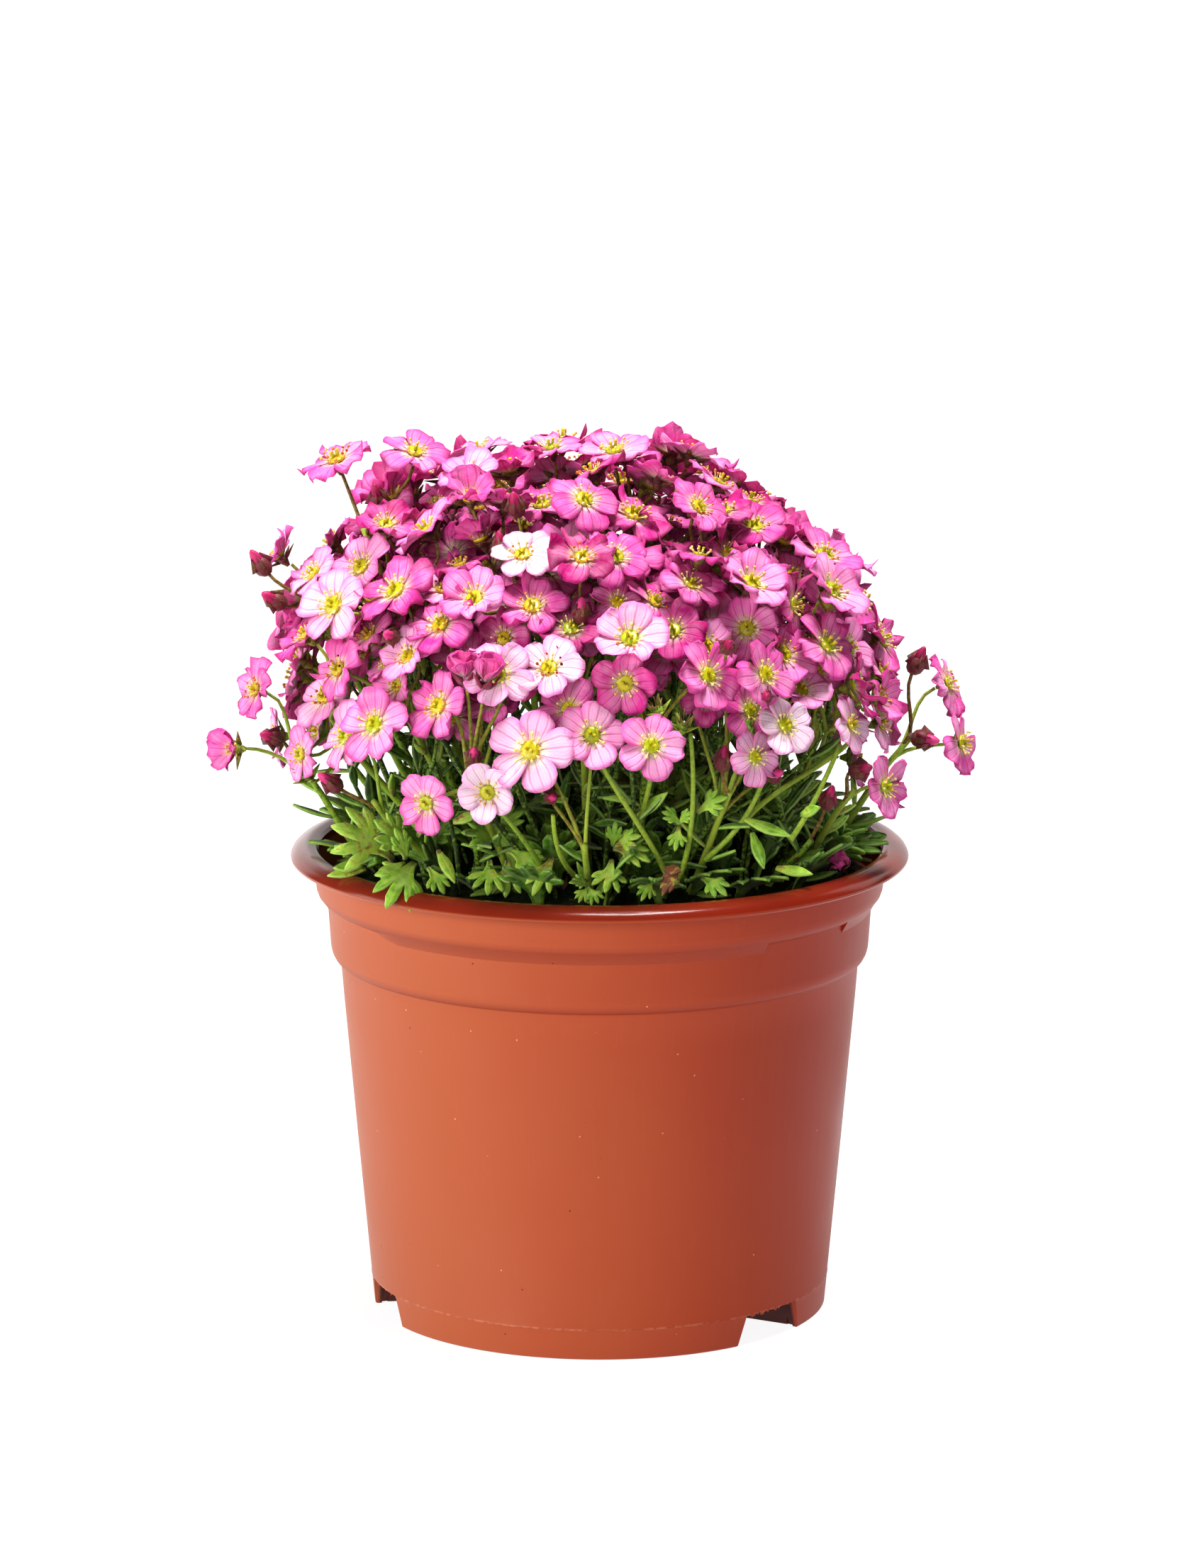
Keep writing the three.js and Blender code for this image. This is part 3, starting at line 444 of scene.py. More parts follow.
def clumpOf(point):
    if math.hypot(point[0], point[1]) < clumps["crownTangent"] * (point[2] - dome["fanHeight"]):
        return clumps["ring"]
    swept = (math.atan2(point[1], point[0]) + 2 * math.pi) % (2 * math.pi)
    return math.floor(swept * clumps["ring"] / (2 * math.pi))


def roomIn(clump, point):  # how far a point lies inside its clump's own room
    flat = math.hypot(point[0], point[1])
    pastCone = flat - clumps["crownTangent"] * (point[2] - dome["fanHeight"])
    if clump == clumps["ring"]:
        return -pastCone
    wedge = 2 * math.pi / clumps["ring"]
    turn = math.atan2(point[1], point[0]) - (clump + 0.5) * wedge
    off = abs(math.atan2(math.sin(turn), math.cos(turn)))
    return min(pastCone, flat * math.sin(min(wedge / 2 - off, 1.5)))


def inPot(point):
    flat = math.hypot(point[0], point[1])
    overRim = point[2] > foliage["rimTop"] + 0.8
    return point[2] > foliage["base"] and flat < 60.5 and (flat < foliage["wall"] or overRim)


def leafPoint(leaf, across, along, lift):
    arch = 0.4 * along * (1 - along) - 0.12 * across * across
    point = plus(leaf["root"], leaf["along"], leaf["length"] * along)
    point = plus(point, leaf["across"], leaf["length"] * across)
    return plus(point, leaf["normal"], leaf["length"] * arch + lift)


def leafFrom(root, along, across, length):
    return {"root": root, "along": along, "across": across, "normal": cross(across, along), "length": length}


def makeLeaf(root, azimuth, rise, length):
    across = (math.sin(azimuth), -math.cos(azimuth), 0.0)
    leaf = leafFrom(root, polar(math.cos(rise), azimuth, math.sin(rise)), across, length)
    leaf["radius"] = 0.52 * length
    leaf["centre"] = leafPoint(leaf, 0, foliage["palm"], 0)
    right = [leafPoint(leaf, x, y, 0) for x, y in foliage["half"]]
    left = [leafPoint(leaf, -x, y, 0) for x, y in foliage["half"]][::-1]
    outline = right + [leafPoint(leaf, 0, 1, 0)] + left
    leaf["edges"] = [(point, outline[(k + 1) % len(outline)]) for k, point in enumerate(outline)]
    return leaf


def crossings(leaf, mates, sprays):
    stems = sum(segmentMeetsBlade(spray["foot"], spray["hub"], leaf, 0.9, 0.5) for spray in sprays)
    return stems + sum(bladesMeet(leaf, other) for other in mates)


def sprayMissesLeaf(spray, leaf):
    if apart(spray["hub"], leaf["centre"]) > 45:
        return True
    runs = [(stalkPoint(spray, -5), stalkPoint(spray, 3), 1.6)]
    for bud in spray["buds"]:
        runs += [(bud["hub"], bud["base"], 0.9), (bud["base"], bud["tip"], 2)]
    for bloom in spray["blooms"]:
        neck = neckOf(bloom)
        runs += [(bloom["hub"], neck, 0.9), (neck, bloom["centre"], 2)]
    if any(segmentMeetsBlade(start, end, leaf, 1.8, margin) for start, end, margin in runs):
        return False
    return not any(bladesMeet(bloom, leaf, 1.8, 0.8) for bloom in spray["blooms"])


def leafIsClear(leaf, clump, sprays):
    gap = clumps["gap"]
    last = len(leaf["edges"]) - 1
    for k, (point, following) in enumerate(leaf["edges"]):
        if roomIn(clump, point) <= gap:
            return False
        between = tuple((a + b) / 2 for a, b in zip(point, following))
        inner = tuple((a + b) / 2 for a, b in zip(point, leaf["centre"]))
        if 0 < k < last - 1 and not (inPot(point) and inPot(between) and inPot(inner)):
            return False
    return roomIn(clump, leaf["centre"]) > gap + 0.6 and all(sprayMissesLeaf(spray, leaf) for spray in sprays)


def leafRoot(flat, azimuth):
    radius = min(flat, 14) if flat < 18.5 else max(flat, 21.5)
    return polar(radius, azimuth, coreTop(radius) - 1.4)


def bestLeaf(root, heading, rise, length, leaves, sprays):
    clump = clumpOf(root)
    mates = [leaf for leaf in leaves if leaf["clump"] == clump]
    best, fewest = None, math.inf
    for shrink in (1, 0.8):
        for lift in foliage["lifts"]:
            for turn in foliage["turns"]:
                if fewest == 0:
                    return best
                leaf = makeLeaf(root, heading + turn, rise + lift, length * shrink)
                if leafIsClear(leaf, clump, sprays):
                    count = crossings(leaf, mates, sprays)
                    if count < fewest:
                        best, fewest = dict(leaf, clump=clump), count
    return best


def laidLeaves(sprays):
    draw = seededDraw(foliage["seed"])
    leaves = []
    for i in range(foliage["count"]):
        share = (i + 0.5) / foliage["count"]
        inner, outer = foliage["zone"]
        flat = math.sqrt(inner * inner + share * (outer * outer - inner * inner)) + draw(-1, 1)
        azimuth = i * goldenAngle + draw(-0.06, 0.06)
        heading = azimuth + draw(-0.7, 0.7)
        rise = 1.25 - 0.65 * share + draw(-0.15, 0.15)
        length = draw(*foliage["sizes"])
        leaf = bestLeaf(leafRoot(flat, azimuth), heading, rise, length, leaves, sprays)
        if leaf:
            leaves.append(leaf)
    return leaves


sprays = layOut()
leaves = laidLeaves(sprays)
blooms = sum(len(spray["blooms"]) for spray in sprays)
hidden = sum(len(spray["deep"]) + len(spray["under"]) for spray in sprays)
buds = sum(len(spray["buds"]) for spray in sprays)
print("laid out", len(sprays), "sprays,", blooms, "blooms,", hidden, "deep blooms,",
      buds, "buds,", len(leaves), "leaves")
cadSprays = sum(name.startswith("spray_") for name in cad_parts)
assert len(sprays) == cadSprays, "the layout no longer matches the model"

# Small helpers for meshes

scene = bpy.context.scene


def newPart():
    part = bmesh.new()
    part.verts.layers.float.new("tone")
    part.loops.layers.uv.new("along")
    return part


def paint(part, verts, tone):
    layer = part.verts.layers.float["tone"]
    for vert in verts:
        vert[layer] = tone


def addTo(pile, part, matrix=None, material=0):  # moves a part into place and joins it to a pile
    if matrix:
        bmesh.ops.transform(part, matrix=matrix, verts=part.verts)
    for face in part.faces:
        face.material_index = material
        face.smooth = True
    scrap = bpy.data.meshes.new("scrap")
    part.to_mesh(scrap)
    part.free()
    pile.from_mesh(scrap)
    bpy.data.meshes.remove(scrap)


def axes(x, y, z, origin):
    return Matrix([(x[i], y[i], z[i], origin[i]) for i in range(3)] + [(0, 0, 0, 1)])


def facing(way, origin):  # stands +Z along way
    return Matrix.Translation(origin) @ Vector(way).to_track_quat("Z", "Y").to_matrix().to_4x4()


def aboutZ(degrees):
    return Matrix.Rotation(math.radians(degrees), 4, "Z")


def aside(way, draw):  # some direction across a way
    return Matrix.Rotation(draw(0, 6.28), 4, way) @ way.orthogonal().normalized()


def finishPiece(name, pile, materials, replaced=(), thickness=0.0, sharpAngle=None):
    bmesh.ops.scale(pile, vec=(metres, metres, metres), verts=pile.verts)
    mesh = bpy.data.meshes.new(name)
    pile.to_mesh(mesh)
    pile.free()
    for material in materials:
        mesh.materials.append(material)
    if sharpAngle:
        mesh.shade_smooth()
        mesh.set_sharp_from_angle(angle=math.radians(sharpAngle))
    piece = bpy.data.objects.new(name, mesh)
    scene.collection.objects.link(piece)
    if thickness:
        solid = piece.modifiers.new("thickness", "SOLIDIFY")
        solid.thickness = thickness * metres
        solid.offset = 0
    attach(piece, "root")
    if replaced:
        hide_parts(*replaced)
    return piece


def tube(part, path, radii, sides, tone):  # a circle extruded along a path, closed at both ends
    ways = [(after - point).normalized() for point, after in zip(path, path[1:])]
    ways.append(ways[-1])
    start = facing(ways[0], path[0])
    verts = bmesh.ops.create_circle(part, segments=sides, radius=radii[0], matrix=start)["verts"]
    made = list(verts)
    edges = list({edge for vert in verts for edge in vert.link_edges})
    for i in range(1, len(path)):
        grown = bmesh.ops.extrude_edge_only(part, edges=edges)["geom"]
        edges = [item for item in grown if isinstance(item, bmesh.types.BMEdge)]
        verts = [item for item in grown if isinstance(item, bmesh.types.BMVert)]
        bend = ways[i - 1].rotation_difference(ways[i]).to_matrix().to_4x4()
        size = Matrix.Scale(radii[i] / radii[i - 1], 4)
        move = Matrix.Translation(path[i]) @ bend @ size @ Matrix.Translation(-path[i - 1])
        bmesh.ops.transform(part, matrix=move, verts=verts)
        made += verts
    ends = {edge for vert in made for edge in vert.link_edges if edge.is_boundary}
    bmesh.ops.holes_fill(part, edges=list(ends), sides=0)
    paint(part, made, tone)


def cone(part, sides, wide, thin, height, matrix, tone=None):  # closed, around the matrix's origin
    verts = bmesh.ops.create_cone(
        part, segments=sides, radius1=wide, radius2=thin, depth=height, cap_ends=True, matrix=matrix)["verts"]
    if tone is not None:
        paint(part, verts, tone)
    return verts


def ball(part, radius, place, tone):
    matrix = Matrix.Translation(place)
    paint(part, bmesh.ops.create_icosphere(part, subdivisions=1, radius=radius, matrix=matrix)["verts"], tone)


def hairs(part, path, radii, count, length, tone, draw):
    for _ in range(count):
        spot = draw(0, len(path) - 1.01)
        i = int(spot)
        way = (path[i + 1] - path[i]).normalized()
        out = aside(way, draw)
        lean = (out + way * draw(-0.1, 0.35)).normalized()
        size = length * draw(0.5, 1)
        root = path[i].lerp(path[i + 1], spot - i) + out * radii[i] * 0.8
        cone(part, 3, 0.045, 0, size, facing(lean, root + lean * size / 2), tone)


def bezier(start, startPull, endPull, end, steps):
    points = []
    for k in range(steps + 1):
        t = k / steps
        points.append(start * (1 - t) ** 3 + startPull * 3 * t * (1 - t) ** 2
                      + endPull * 3 * t * t * (1 - t) + end * t ** 3)
    return points


# Materials

def linear(hexColour):  # an sRGB hex colour as linear light
    shares = [int(hexColour[i:i + 2], 16) / 255 for i in (1, 3, 5)]
    return tuple(s / 12.92 if s <= 0.04045 else ((s + 0.055) / 1.055) ** 2.4 for s in shares) + (1.0,)


def fill(node, inputs):  # links the sockets among the values and sets the others as plain values
    for name, value in inputs.items():
        if isinstance(value, bpy.types.NodeSocket):
            value.id_data.links.new(value, node.inputs[name])
        else:
            node.inputs[name].default_value = value


def add(tree, kind, inputs=None, stops=None, **settings):
    made = tree.nodes.new("ShaderNode" + kind)
    for name, value in settings.items():
        setattr(made, name, value)
    if stops:
        ramp = made.color_ramp.elements
        ramp.remove(ramp[1])
        for k, (place, colour) in enumerate(stops):
            stop = ramp[0] if k == 0 else ramp.new(place)
            stop.position = place
            stop.color = linear(colour)
    fill(made, inputs or {})
    return made


def calc(operation, value, *others, clamp=False):
    inputs = dict(enumerate((value, *others)))
    return add(value.id_data, "Math", inputs, operation=operation, use_clamp=clamp).outputs[0]


def ranged(value, low, high, bottom=0.0, top=1.0, ease="LINEAR"):  # lays one range of values over another
    inputs = {0: value, 1: low, 2: high, 3: bottom, 4: top}
    return add(value.id_data, "MapRange", inputs, interpolation_type=ease).outputs[0]


def eased(value, low, high, bottom, top):
    return ranged(value, low, high, bottom, top, "SMOOTHSTEP")


def blend(share, one, other):  # the second colour is a hex one or a socket
    inputs = {0: share, 1: one, 2: linear(other) if isinstance(other, str) else other}
    return add(share.id_data, "MixRGB", inputs).outputs[0]


def shades(value, stops):
    return add(value.id_data, "ValToRGB", {0: value}, stops).outputs[0]


def clouds(where, scale, detail):
    return add(where.id_data, "TexNoise", {"Vector": where, "Scale": scale, "Detail": detail}).outputs[0]


def relief(height, strength, distance):
    inputs = {"Height": height, "Strength": strength, "Distance": distance}
    return add(height.id_data, "Bump", inputs).outputs[0]


def parted(vector):
    return add(vector.id_data, "SeparateXYZ", {0: vector}).outputs


def newMaterial(name):  # with its nodes, its shader and the socket for the place on the object
    material = bpy.data.materials.new(name)
    material.use_nodes = True
    tree = material.node_tree
    return material, tree, tree.nodes["Principled BSDF"], add(tree, "TexCoord").outputs["Object"]


def painted(tree):
    return add(tree, "Attribute", attribute_name="tone").outputs["Fac"]


petalTones = [(0, "#e6cedb"), (0.25, "#eea2cc"), (0.5, "#e566b0"), (0.75, "#cf2f8e"), (1, "#96095a")]
leafTones = [
    (0, "#1f3d05"), (0.3, "#477811"), (0.6, "#83b22b"), (0.8, "#b0cd4c"), (0.88, "#a99f3a"), (1, "#7a4730")]


def petalTissue():
    # living petal: thin wet cells under a dull skin, so it looks soft, lets light through and shows its veins
    material, tree, shader, where = newMaterial("petal tissue, grown, velvety skin")
    tone = painted(tree)
    across, along, _ = parted(add(tree, "UVMap", uv_map="along").outputs[0])
    wander = clouds(where, 500, 1)  # 2 mm bends in the veins
    line = calc("ADD", calc("MULTIPLY_ADD", wander, 0.05, across), -0.525)
    body = shades(calc("MULTIPLY_ADD", tone, 1.08, -0.09, clamp=True), petalTones)
    deeper = shades(calc("ADD", tone, 0.28, clamp=True), petalTones)
    blotch = clouds(where, 260, 2)  # cloudy patches of 4 mm
    paler = blend(ranged(blotch, 0.35, 0.65, 0.0, 0.35), body, "#f2c3dc")
    cream = blend(eased(along, 0.1, 0.5, 0.9, 0.0), paler, "#f3efc8")
    side = eased(calc("ABSOLUTE", line), 0.3, 0.5, 0.0, 0.65)
    tip = eased(along, 0.72, 1.0, 0.0, 0.7)
    rimmed = blend(calc("MAXIMUM", side, tip), cream, deeper)
    vein = eased(calc("PINGPONG", line, 0.14), 0.0, 0.045, 1.0, 0.0)  # three main veins, 2 mm apart
    branch = eased(calc("PINGPONG", line, 0.047), 0.0, 0.02, 0.4, 0.0)  # their branches, 0.6 mm apart
    depth = calc("MULTIPLY", calc("MAXIMUM", vein, branch), ranged(along, 1.0, 0.4, 0.35, 0.9))
    dark = calc("MULTIPLY", depth, calc("MULTIPLY_ADD", tone, 0.5, 0.45), clamp=True)
    cells = clouds(where, 4000, 1)  # skin cells, drawn coarse at 0.25 mm
    fill(shader, {
        "Base Color": blend(dark, rimmed, "#b8176f"),
        "Normal": relief(calc("MULTIPLY_ADD", vein, -0.6, cells), 0.5, 0.0002),
        "Roughness": 0.62, "IOR": 1.42, "Specular IOR Level": 0.15, "Sheen Weight": 0.02,
        "Subsurface Weight": 0.25, "Subsurface Radius": (1.0, 0.45, 0.6), "Subsurface Scale": 0.0012})
    return material


def tissue(name, stops, roughness, scale, depth, specular=0.4, sheen=0.0, scatter=0.25, contrast=0.25):
    # green and coloured plant parts: the tone attribute chooses the colour, fine noise mottles it
    material, tree, shader, where = newMaterial(name)
    mottle = clouds(where, scale, 3)
    shift = ranged(mottle, 0.3, 0.7, -contrast / 2, contrast / 2)
    fill(shader, {
        "Base Color": shades(calc("ADD", painted(tree), shift, clamp=True), stops),
        "Normal": relief(mottle, depth, 0.0001),
        "Roughness": roughness, "Specular IOR Level": specular, "Sheen Weight": sheen,
        "Subsurface Weight": scatter, "Subsurface Radius": (0.6, 1.0, 0.3), "Subsurface Scale": 0.0008})
    return material


def leafTissue():
    # living leaf: fleshy green under fine hairs, so it is dull with a pale bloom, lighter midribs and stalks
    material, tree, shader, where = newMaterial("leaf tissue, grown, downy")
    tone = painted(tree)
    across, along, _ = parted(add(tree, "UVMap", uv_map="along").outputs[0])
    mottled = calc("ADD", tone, ranged(clouds(where, 700, 3), 0.3, 0.7, -0.16, 0.16))  # 1.5 mm patches
    young = calc("ADD", mottled, ranged(along, 0.0, 0.6, 0.22, 0.0), clamp=True)
    off = calc("ABSOLUTE", calc("ADD", across, -0.5))
    rib = eased(off, 0.03, 0.16, 0.35, 0.0)
    pale = calc("MAXIMUM", rib, ranged(off, 0.36, 0.5, 0.0, 0.45))
    lines = calc("MULTIPLY", pale, ranged(tone, 0.85, 0.95, 1.0, 0.0))  # dry leaves lose their pale lines
    down = clouds(where, 5000, 2)  # hairs and cells, 0.2 mm
    fill(shader, {
        "Base Color": blend(lines, shades(young, leafTones), "#b4cc74"),
        "Normal": relief(calc("MULTIPLY_ADD", rib, -2.0, down), 0.5, 0.00012),
        "Roughness": 0.5, "Specular IOR Level": 0.4, "Sheen Weight": 0.12, "Sheen Roughness": 0.4,
        "Subsurface Weight": 0.2, "Subsurface Radius": (0.5, 1.0, 0.2), "Subsurface Scale": 0.0008})
    return material


def peat():
    # damp peat compost: crumbs and fibres, near black with brown flecks, dull with a few wet glints
    material, tree, shader, where = newMaterial("peat compost, crumbly, damp")
    crumbs = add(tree, "TexVoronoi", {"Vector": where, "Scale": 700}).outputs["Distance"]  # 1.4 mm
    grain = clouds(where, 1200, 4)
    fill(shader, {
        "Base Color": shades(grain, [(0.3, "#120b07"), (0.5, "#2a1b12"), (0.66, "#4b3424"), (0.8, "#7d6248")]),
        "Normal": relief(calc("MULTIPLY_ADD", crumbs, -0.8, grain), 0.9, 0.0006),
        "Roughness": ranged(grain, 0.3, 0.6, 0.55, 0.9)})
    return material


# heights and radii on the pot, in metres, where its look changes
potMarks = {"rim": (0.0886, 0.0894), "rimTop": (0.0892, 0.0898), "floor": (0.0066, 0.006),
            "insideFeet": (0.0438, 0.0432), "seam": 0.00606, "paintedLightSide": (0.052, -0.046)}


def moulded():
    # polypropylene from a satin mould: smooth, with a waxy sheen, wiping streaks, dust and specks of soil, and
    # painted light and shade on its sides, rim, ledges and feet
    material, tree, shader, where = newMaterial("terracotta polypropylene, injection moulded, satin")
    cloud = clouds(where, 35, 3)  # uneven pigment over 30 mm
    x, _, z = parted(where)
    pigmentAndPaintedLight = calc("MULTIPLY_ADD", cloud, 0.3, ranged(x, *potMarks["paintedLightSide"]))  # uneven pigment, with painted light: the left side lighter, the right side darker
    base = shades(pigmentAndPaintedLight, [(0.15, "#a92b09"), (0.65, "#ae4e29"), (1, "#ab5833")])
    tall = add(tree, "Mapping", {"Vector": where, "Scale": (900, 900, 40)}).outputs[0]  # streaks, 1 by 25 mm
    wiped = blend(ranged(clouds(tall, 1, 2), 0.55, 0.8, 0.0, 0.06), base, "#c8684a")
    up = parted(add(tree, "NewGeometry").outputs["Normal"])[2]
    dusty = blend(ranged(up, 0.25, 0.9, 0.0, 0.3), wiped, "#c98468")
    dots = add(tree, "TexVoronoi", {"Vector": where, "Scale": 330})  # one speck for each 3 mm, 0.3 mm wide
    small = ranged(dots.outputs["Distance"], 0.035, 0.07, 1.0, 0.0)
    kind = parted(dots.outputs["Color"])[0]
    specked = blend(calc("MULTIPLY", small, calc("GREATER_THAN", kind, 0.72)), dusty, "#d8967c")
    soiled = blend(calc("MULTIPLY", small, calc("LESS_THAN", kind, 0.12)), specked, "#4a1d12")
    thick = ranged(z, *potMarks["rimTop"], 0.0, 0.9)  # painted shade: the rolled rim darker at its top
    under = ranged(up, -0.2, -0.6, 0.0, 0.45)  # painted shade: faces looking down, under the ledges, darker too
    deep = blend(calc("MAXIMUM", thick, under), soiled, "#7e2110")
    level = add(tree, "VectorMath", {0: where, 1: (1, 1, 0)}, operation="MULTIPLY").outputs["Vector"]
    radius = add(tree, "VectorMath", {0: level}, operation="LENGTH").outputs["Value"]
    within, below = ranged(radius, *potMarks["insideFeet"]), ranged(z, *potMarks["floor"])
    dark = blend(calc("MULTIPLY", within, below), deep, "#4c140a")  # painted shade under the floor, behind the feet
    peel = clouds(where, 900, 2)  # flow ripple of the mould, 1 mm
    seam = ranged(calc("ABSOLUTE", calc("ADD", z, -potMarks["seam"])), 0.0001, 0.0003, 0.3, 0.0)
    worn = calc("MULTIPLY", seam, ranged(peel, 0.42, 0.58))  # the line where the mould closed, worn in places
    dull = calc("MULTIPLY", ranged(cloud, 0.3, 0.7, 0.34, 0.46), ranged(z, *potMarks["rim"], 1.0, 0.5))
    fill(shader, {
        "Base Color": blend(worn, dark, "#d8906f"), "Normal": relief(peel, 0.12, 0.00008),
        "Roughness": dull, "IOR": 1.49, "Specular IOR Level": 0.34})  # the rim shines more than the wall
    return material


petalSkin = petalTissue()
leafSkin = leafTissue()
nectary = tissue("nectary disc, grown, moist", [(0, "#a9b41c"), (0.5, "#cfb524"), (1, "#7d6510")],
                 0.3, 1800, 0.25, 0.5, 0, 0)
pollen = tissue("filaments and anthers, grown, powdery", [
    (0, "#e6e0a4"), (0.4, "#e2cf7c"), (0.6, "#d08a36"), (0.8, "#b0482a"), (1, "#561a14")],
    0.75, 3000, 0.5, 0.3, 0, 0)
stalkSkin = tissue("stalk and calyx tissue, grown, hairy", [
    (0, "#33470f"), (0.1, "#7da02a"), (0.3, "#a3b43e"), (0.5, "#8f8a2c"), (0.7, "#6c4522"), (0.85, "#661c2c"),
    (1, "#8a1440")], 0.55, 1500, 0.35, 0.4, 0.08, 0)
budSkin = tissue("bud petals, grown, rolled tight", [(0, "#7d0f3f"), (0.5, "#b01c5c"), (1, "#d8468c")],
                 0.5, 1200, 0.3, 0.4, 0, 0.1)
witheredSkin = tissue("withered tissue, dry, papery", [(0, "#5a3420"), (0.5, "#8a5a38"), (1, "#b28a6a")],
                      0.85, 1400, 0.8, 0.2, 0.0, 0.0, 0.5)
# near black: dead leaves, and painted shade in the gaps between the rosettes
matSkin = tissue("old growth mat, dead and shaded leaves", [
    (0, "#0e0d07"), (0.4, "#1b240e"), (0.7, "#303b16"), (0.85, "#402e1a"), (1, "#6a4f33")],
    0.85, 900, 0.9, 0.2, 0.0, 0.0, 0.6)
compost = peat()
potPlastic = moulded()
print("materials made")


# Blooms

petalShape = {
    "across": 6, "thickness": 0.16,
    "reach": (0.07, 0.2, 0.36, 0.53, 0.7, 0.87, 1.0),  # each row's distance from the middle
    "half": (0.1, 0.18, 0.3, 0.385, 0.44, 0.425, 0.33),  # and its half width
    "round": (0, 0, 0.02, 0.05, 0.08, 0.12, 0.13),  # how far its ends fall back
    "twist": 0.14, "wave": 0.085, "grow": 1.08,
}


def addPetal(part, radius, turn, lean, tone, draw):
    rows = len(petalShape["reach"]) - 1
    lean = (lean[0] + draw(-0.12, 0.12), lean[1] + draw(-0.35, 0.35))
    cup = draw(-0.15, 0.4)
    verts = bmesh.ops.create_grid(
        part, x_segments=petalShape["across"], y_segments=rows, size=1, calc_uvs=True)["verts"]
    peak, phase, wide = draw(-0.08, 0.02), draw(0, 6.28), draw(0.84, 1.02)
    radius *= petalShape["grow"]
    wave = draw(0.3, 1.4) * petalShape["wave"] * radius * (0.6 + 2.2 * tone)
    reach, roll = radius * draw(0.9, 1.04), draw(-0.3, 0.3) * tone * radius
    spine = [(reach * petalShape["reach"][0], -0.12 * radius)]
    for row in range(1, rows + 1):
        slope = lean[0] + (lean[1] - lean[0]) * (row - 0.5) / rows
        step = reach * (petalShape["reach"][row] - petalShape["reach"][row - 1])
        spine.append((spine[-1][0] + step * math.cos(slope), spine[-1][1] + step * math.sin(slope)))
    for vert in verts:
        side, t = vert.co.x, (vert.co.y + 1) / 2
        row = round(t * rows)
        slope = lean[0] + (lean[1] - lean[0]) * row / rows
        x = side * petalShape["half"][row] * radius * wide
        fall = petalShape["round"][row] * side * side * radius
        if row == rows:
            fall -= peak * radius * (1 - abs(side)) ** 2
        lift = x * math.tan(petalShape["twist"]) * min(1, 1.6 * t) + cup * x * x / radius
        lift += wave * math.sin(phase + 4.6 * side + 3.4 * t) * (0.3 + side * side) * t * t
        lift += 0.25 * abs(side) ** 3 * radius * (1 - t) ** 2 * 0.3 + roll * max(0, side) ** 2 * t
        out, up = spine[row]
        vert.co = (out - fall * math.cos(slope) - lift * math.sin(slope), x,
                   up - fall * math.sin(slope) + lift * math.cos(slope))
    bmesh.ops.rotate(part, verts=verts, cent=(0, 0, 0), matrix=Matrix.Rotation(turn, 3, "Z"))
    paint(part, verts, max(0.0, min(1.0, tone + draw(-0.07, 0.07))))


def corolla(radius, tone, draw, leanOf):  # five petals, each with the slopes that leanOf gives
    part = newPart()
    for k in range(5):
        addPetal(part, radius, math.radians(72 * k), leanOf(), tone, draw)
    return part


def leanFor(kind, draw):  # the slope of a petal at its base and at its tip
    if kind < 0.72:
        return 0.42 + draw(-0.1, 0.12), -0.2 + draw(-0.25, 0.2)
    if kind < 0.93:
        return 0.75 + draw(-0.1, 0.15), 0.05 + draw(-0.3, 0.2)
    return 1.2, 0.5


def addHeart(pile, bloom, matrix, aged, draw):
    radius = bloom["radius"]
    disc = newPart()
    verts = bmesh.ops.create_uvsphere(disc, u_segments=10, v_segments=5, radius=1)["verts"]
    bmesh.ops.scale(disc, vec=(0.25 * radius, 0.25 * radius, 0.11 * radius), verts=verts)
    for vert in verts:
        if vert.co.z > 0.06 * radius:
            vert.co.z -= 0.05 * radius
    paint(disc, verts, draw(0.0, 0.35) + 0.4 * aged)
    for side in (-1, 1):
        way = Vector((side * 0.35, draw(-0.1, 0.1), 1)).normalized()
        size = radius * 0.2
        foot = way * size * 0.6 + Vector((side * 0.04 * radius, 0, 0.04 * radius))
        cone(disc, 5, 0.05 * radius, 0.025 * radius, size, facing(way, foot), 0.2)
        ball(disc, 0.045 * radius, way * size * 1.1, 0.5)
    addTo(pile, disc, matrix, 0)
    threads = newPart()
    for k in range(10):
        turn = k * math.pi / 5 + draw(-0.12, 0.12)
        out = Vector((math.cos(turn), math.sin(turn), 0))
        start = out * 0.2 * radius + Vector((0, 0, 0.01 * radius))
        end = out * radius * draw(0.28, 0.4) + Vector((0, 0, radius * draw(0.1, 0.2)))
        way = end - start
        middle = facing(way, (start + end) / 2)
        cone(threads, 4, 0.022 * radius, 0.014 * radius, way.length, middle, draw(0.0, 0.3))
        size = radius * draw(0.034, 0.052)
        ball(threads, size, end, min(1.0, max(0.0, draw(0.15, 0.55) + aged * draw(0.2, 0.6))))
    addTo(pile, threads, matrix, 1)


def addCalyx(pile, radius, matrix, tone, draw, rise=0.35):  # cup under the petals with five pointed sepals
    cup = newPart()
    seat = Matrix.Translation((0, 0, -0.29 * radius))
    cone(cup, 8, 0.055 * radius, 0.21 * radius, 0.34 * radius, seat, tone)
    for k in range(5):
        turn = aboutZ(36 + 72 * k)
        way = turn @ Vector((math.cos(rise), 0, math.sin(rise)))
        size = radius * draw(0.42, 0.52)
        root = turn @ Vector((0.16 * radius, 0, -0.2 * radius))
        flat = Matrix.Scale(0.4, 4, (turn @ Vector((-math.sin(rise), 0, math.cos(rise)))).normalized())
        place = Matrix.Translation(root + way * size * 0.5) @ flat @ facing(way, (0, 0, 0))
        sepal = cone(cup, 5, 0.16 * radius, 0.02 * radius, size, Matrix())
        bmesh.ops.transform(cup, matrix=place, verts=sepal)
        paint(cup, sepal, min(1.0, tone + draw(0, 0.15)))
    addTo(pile, cup, matrix, 0)


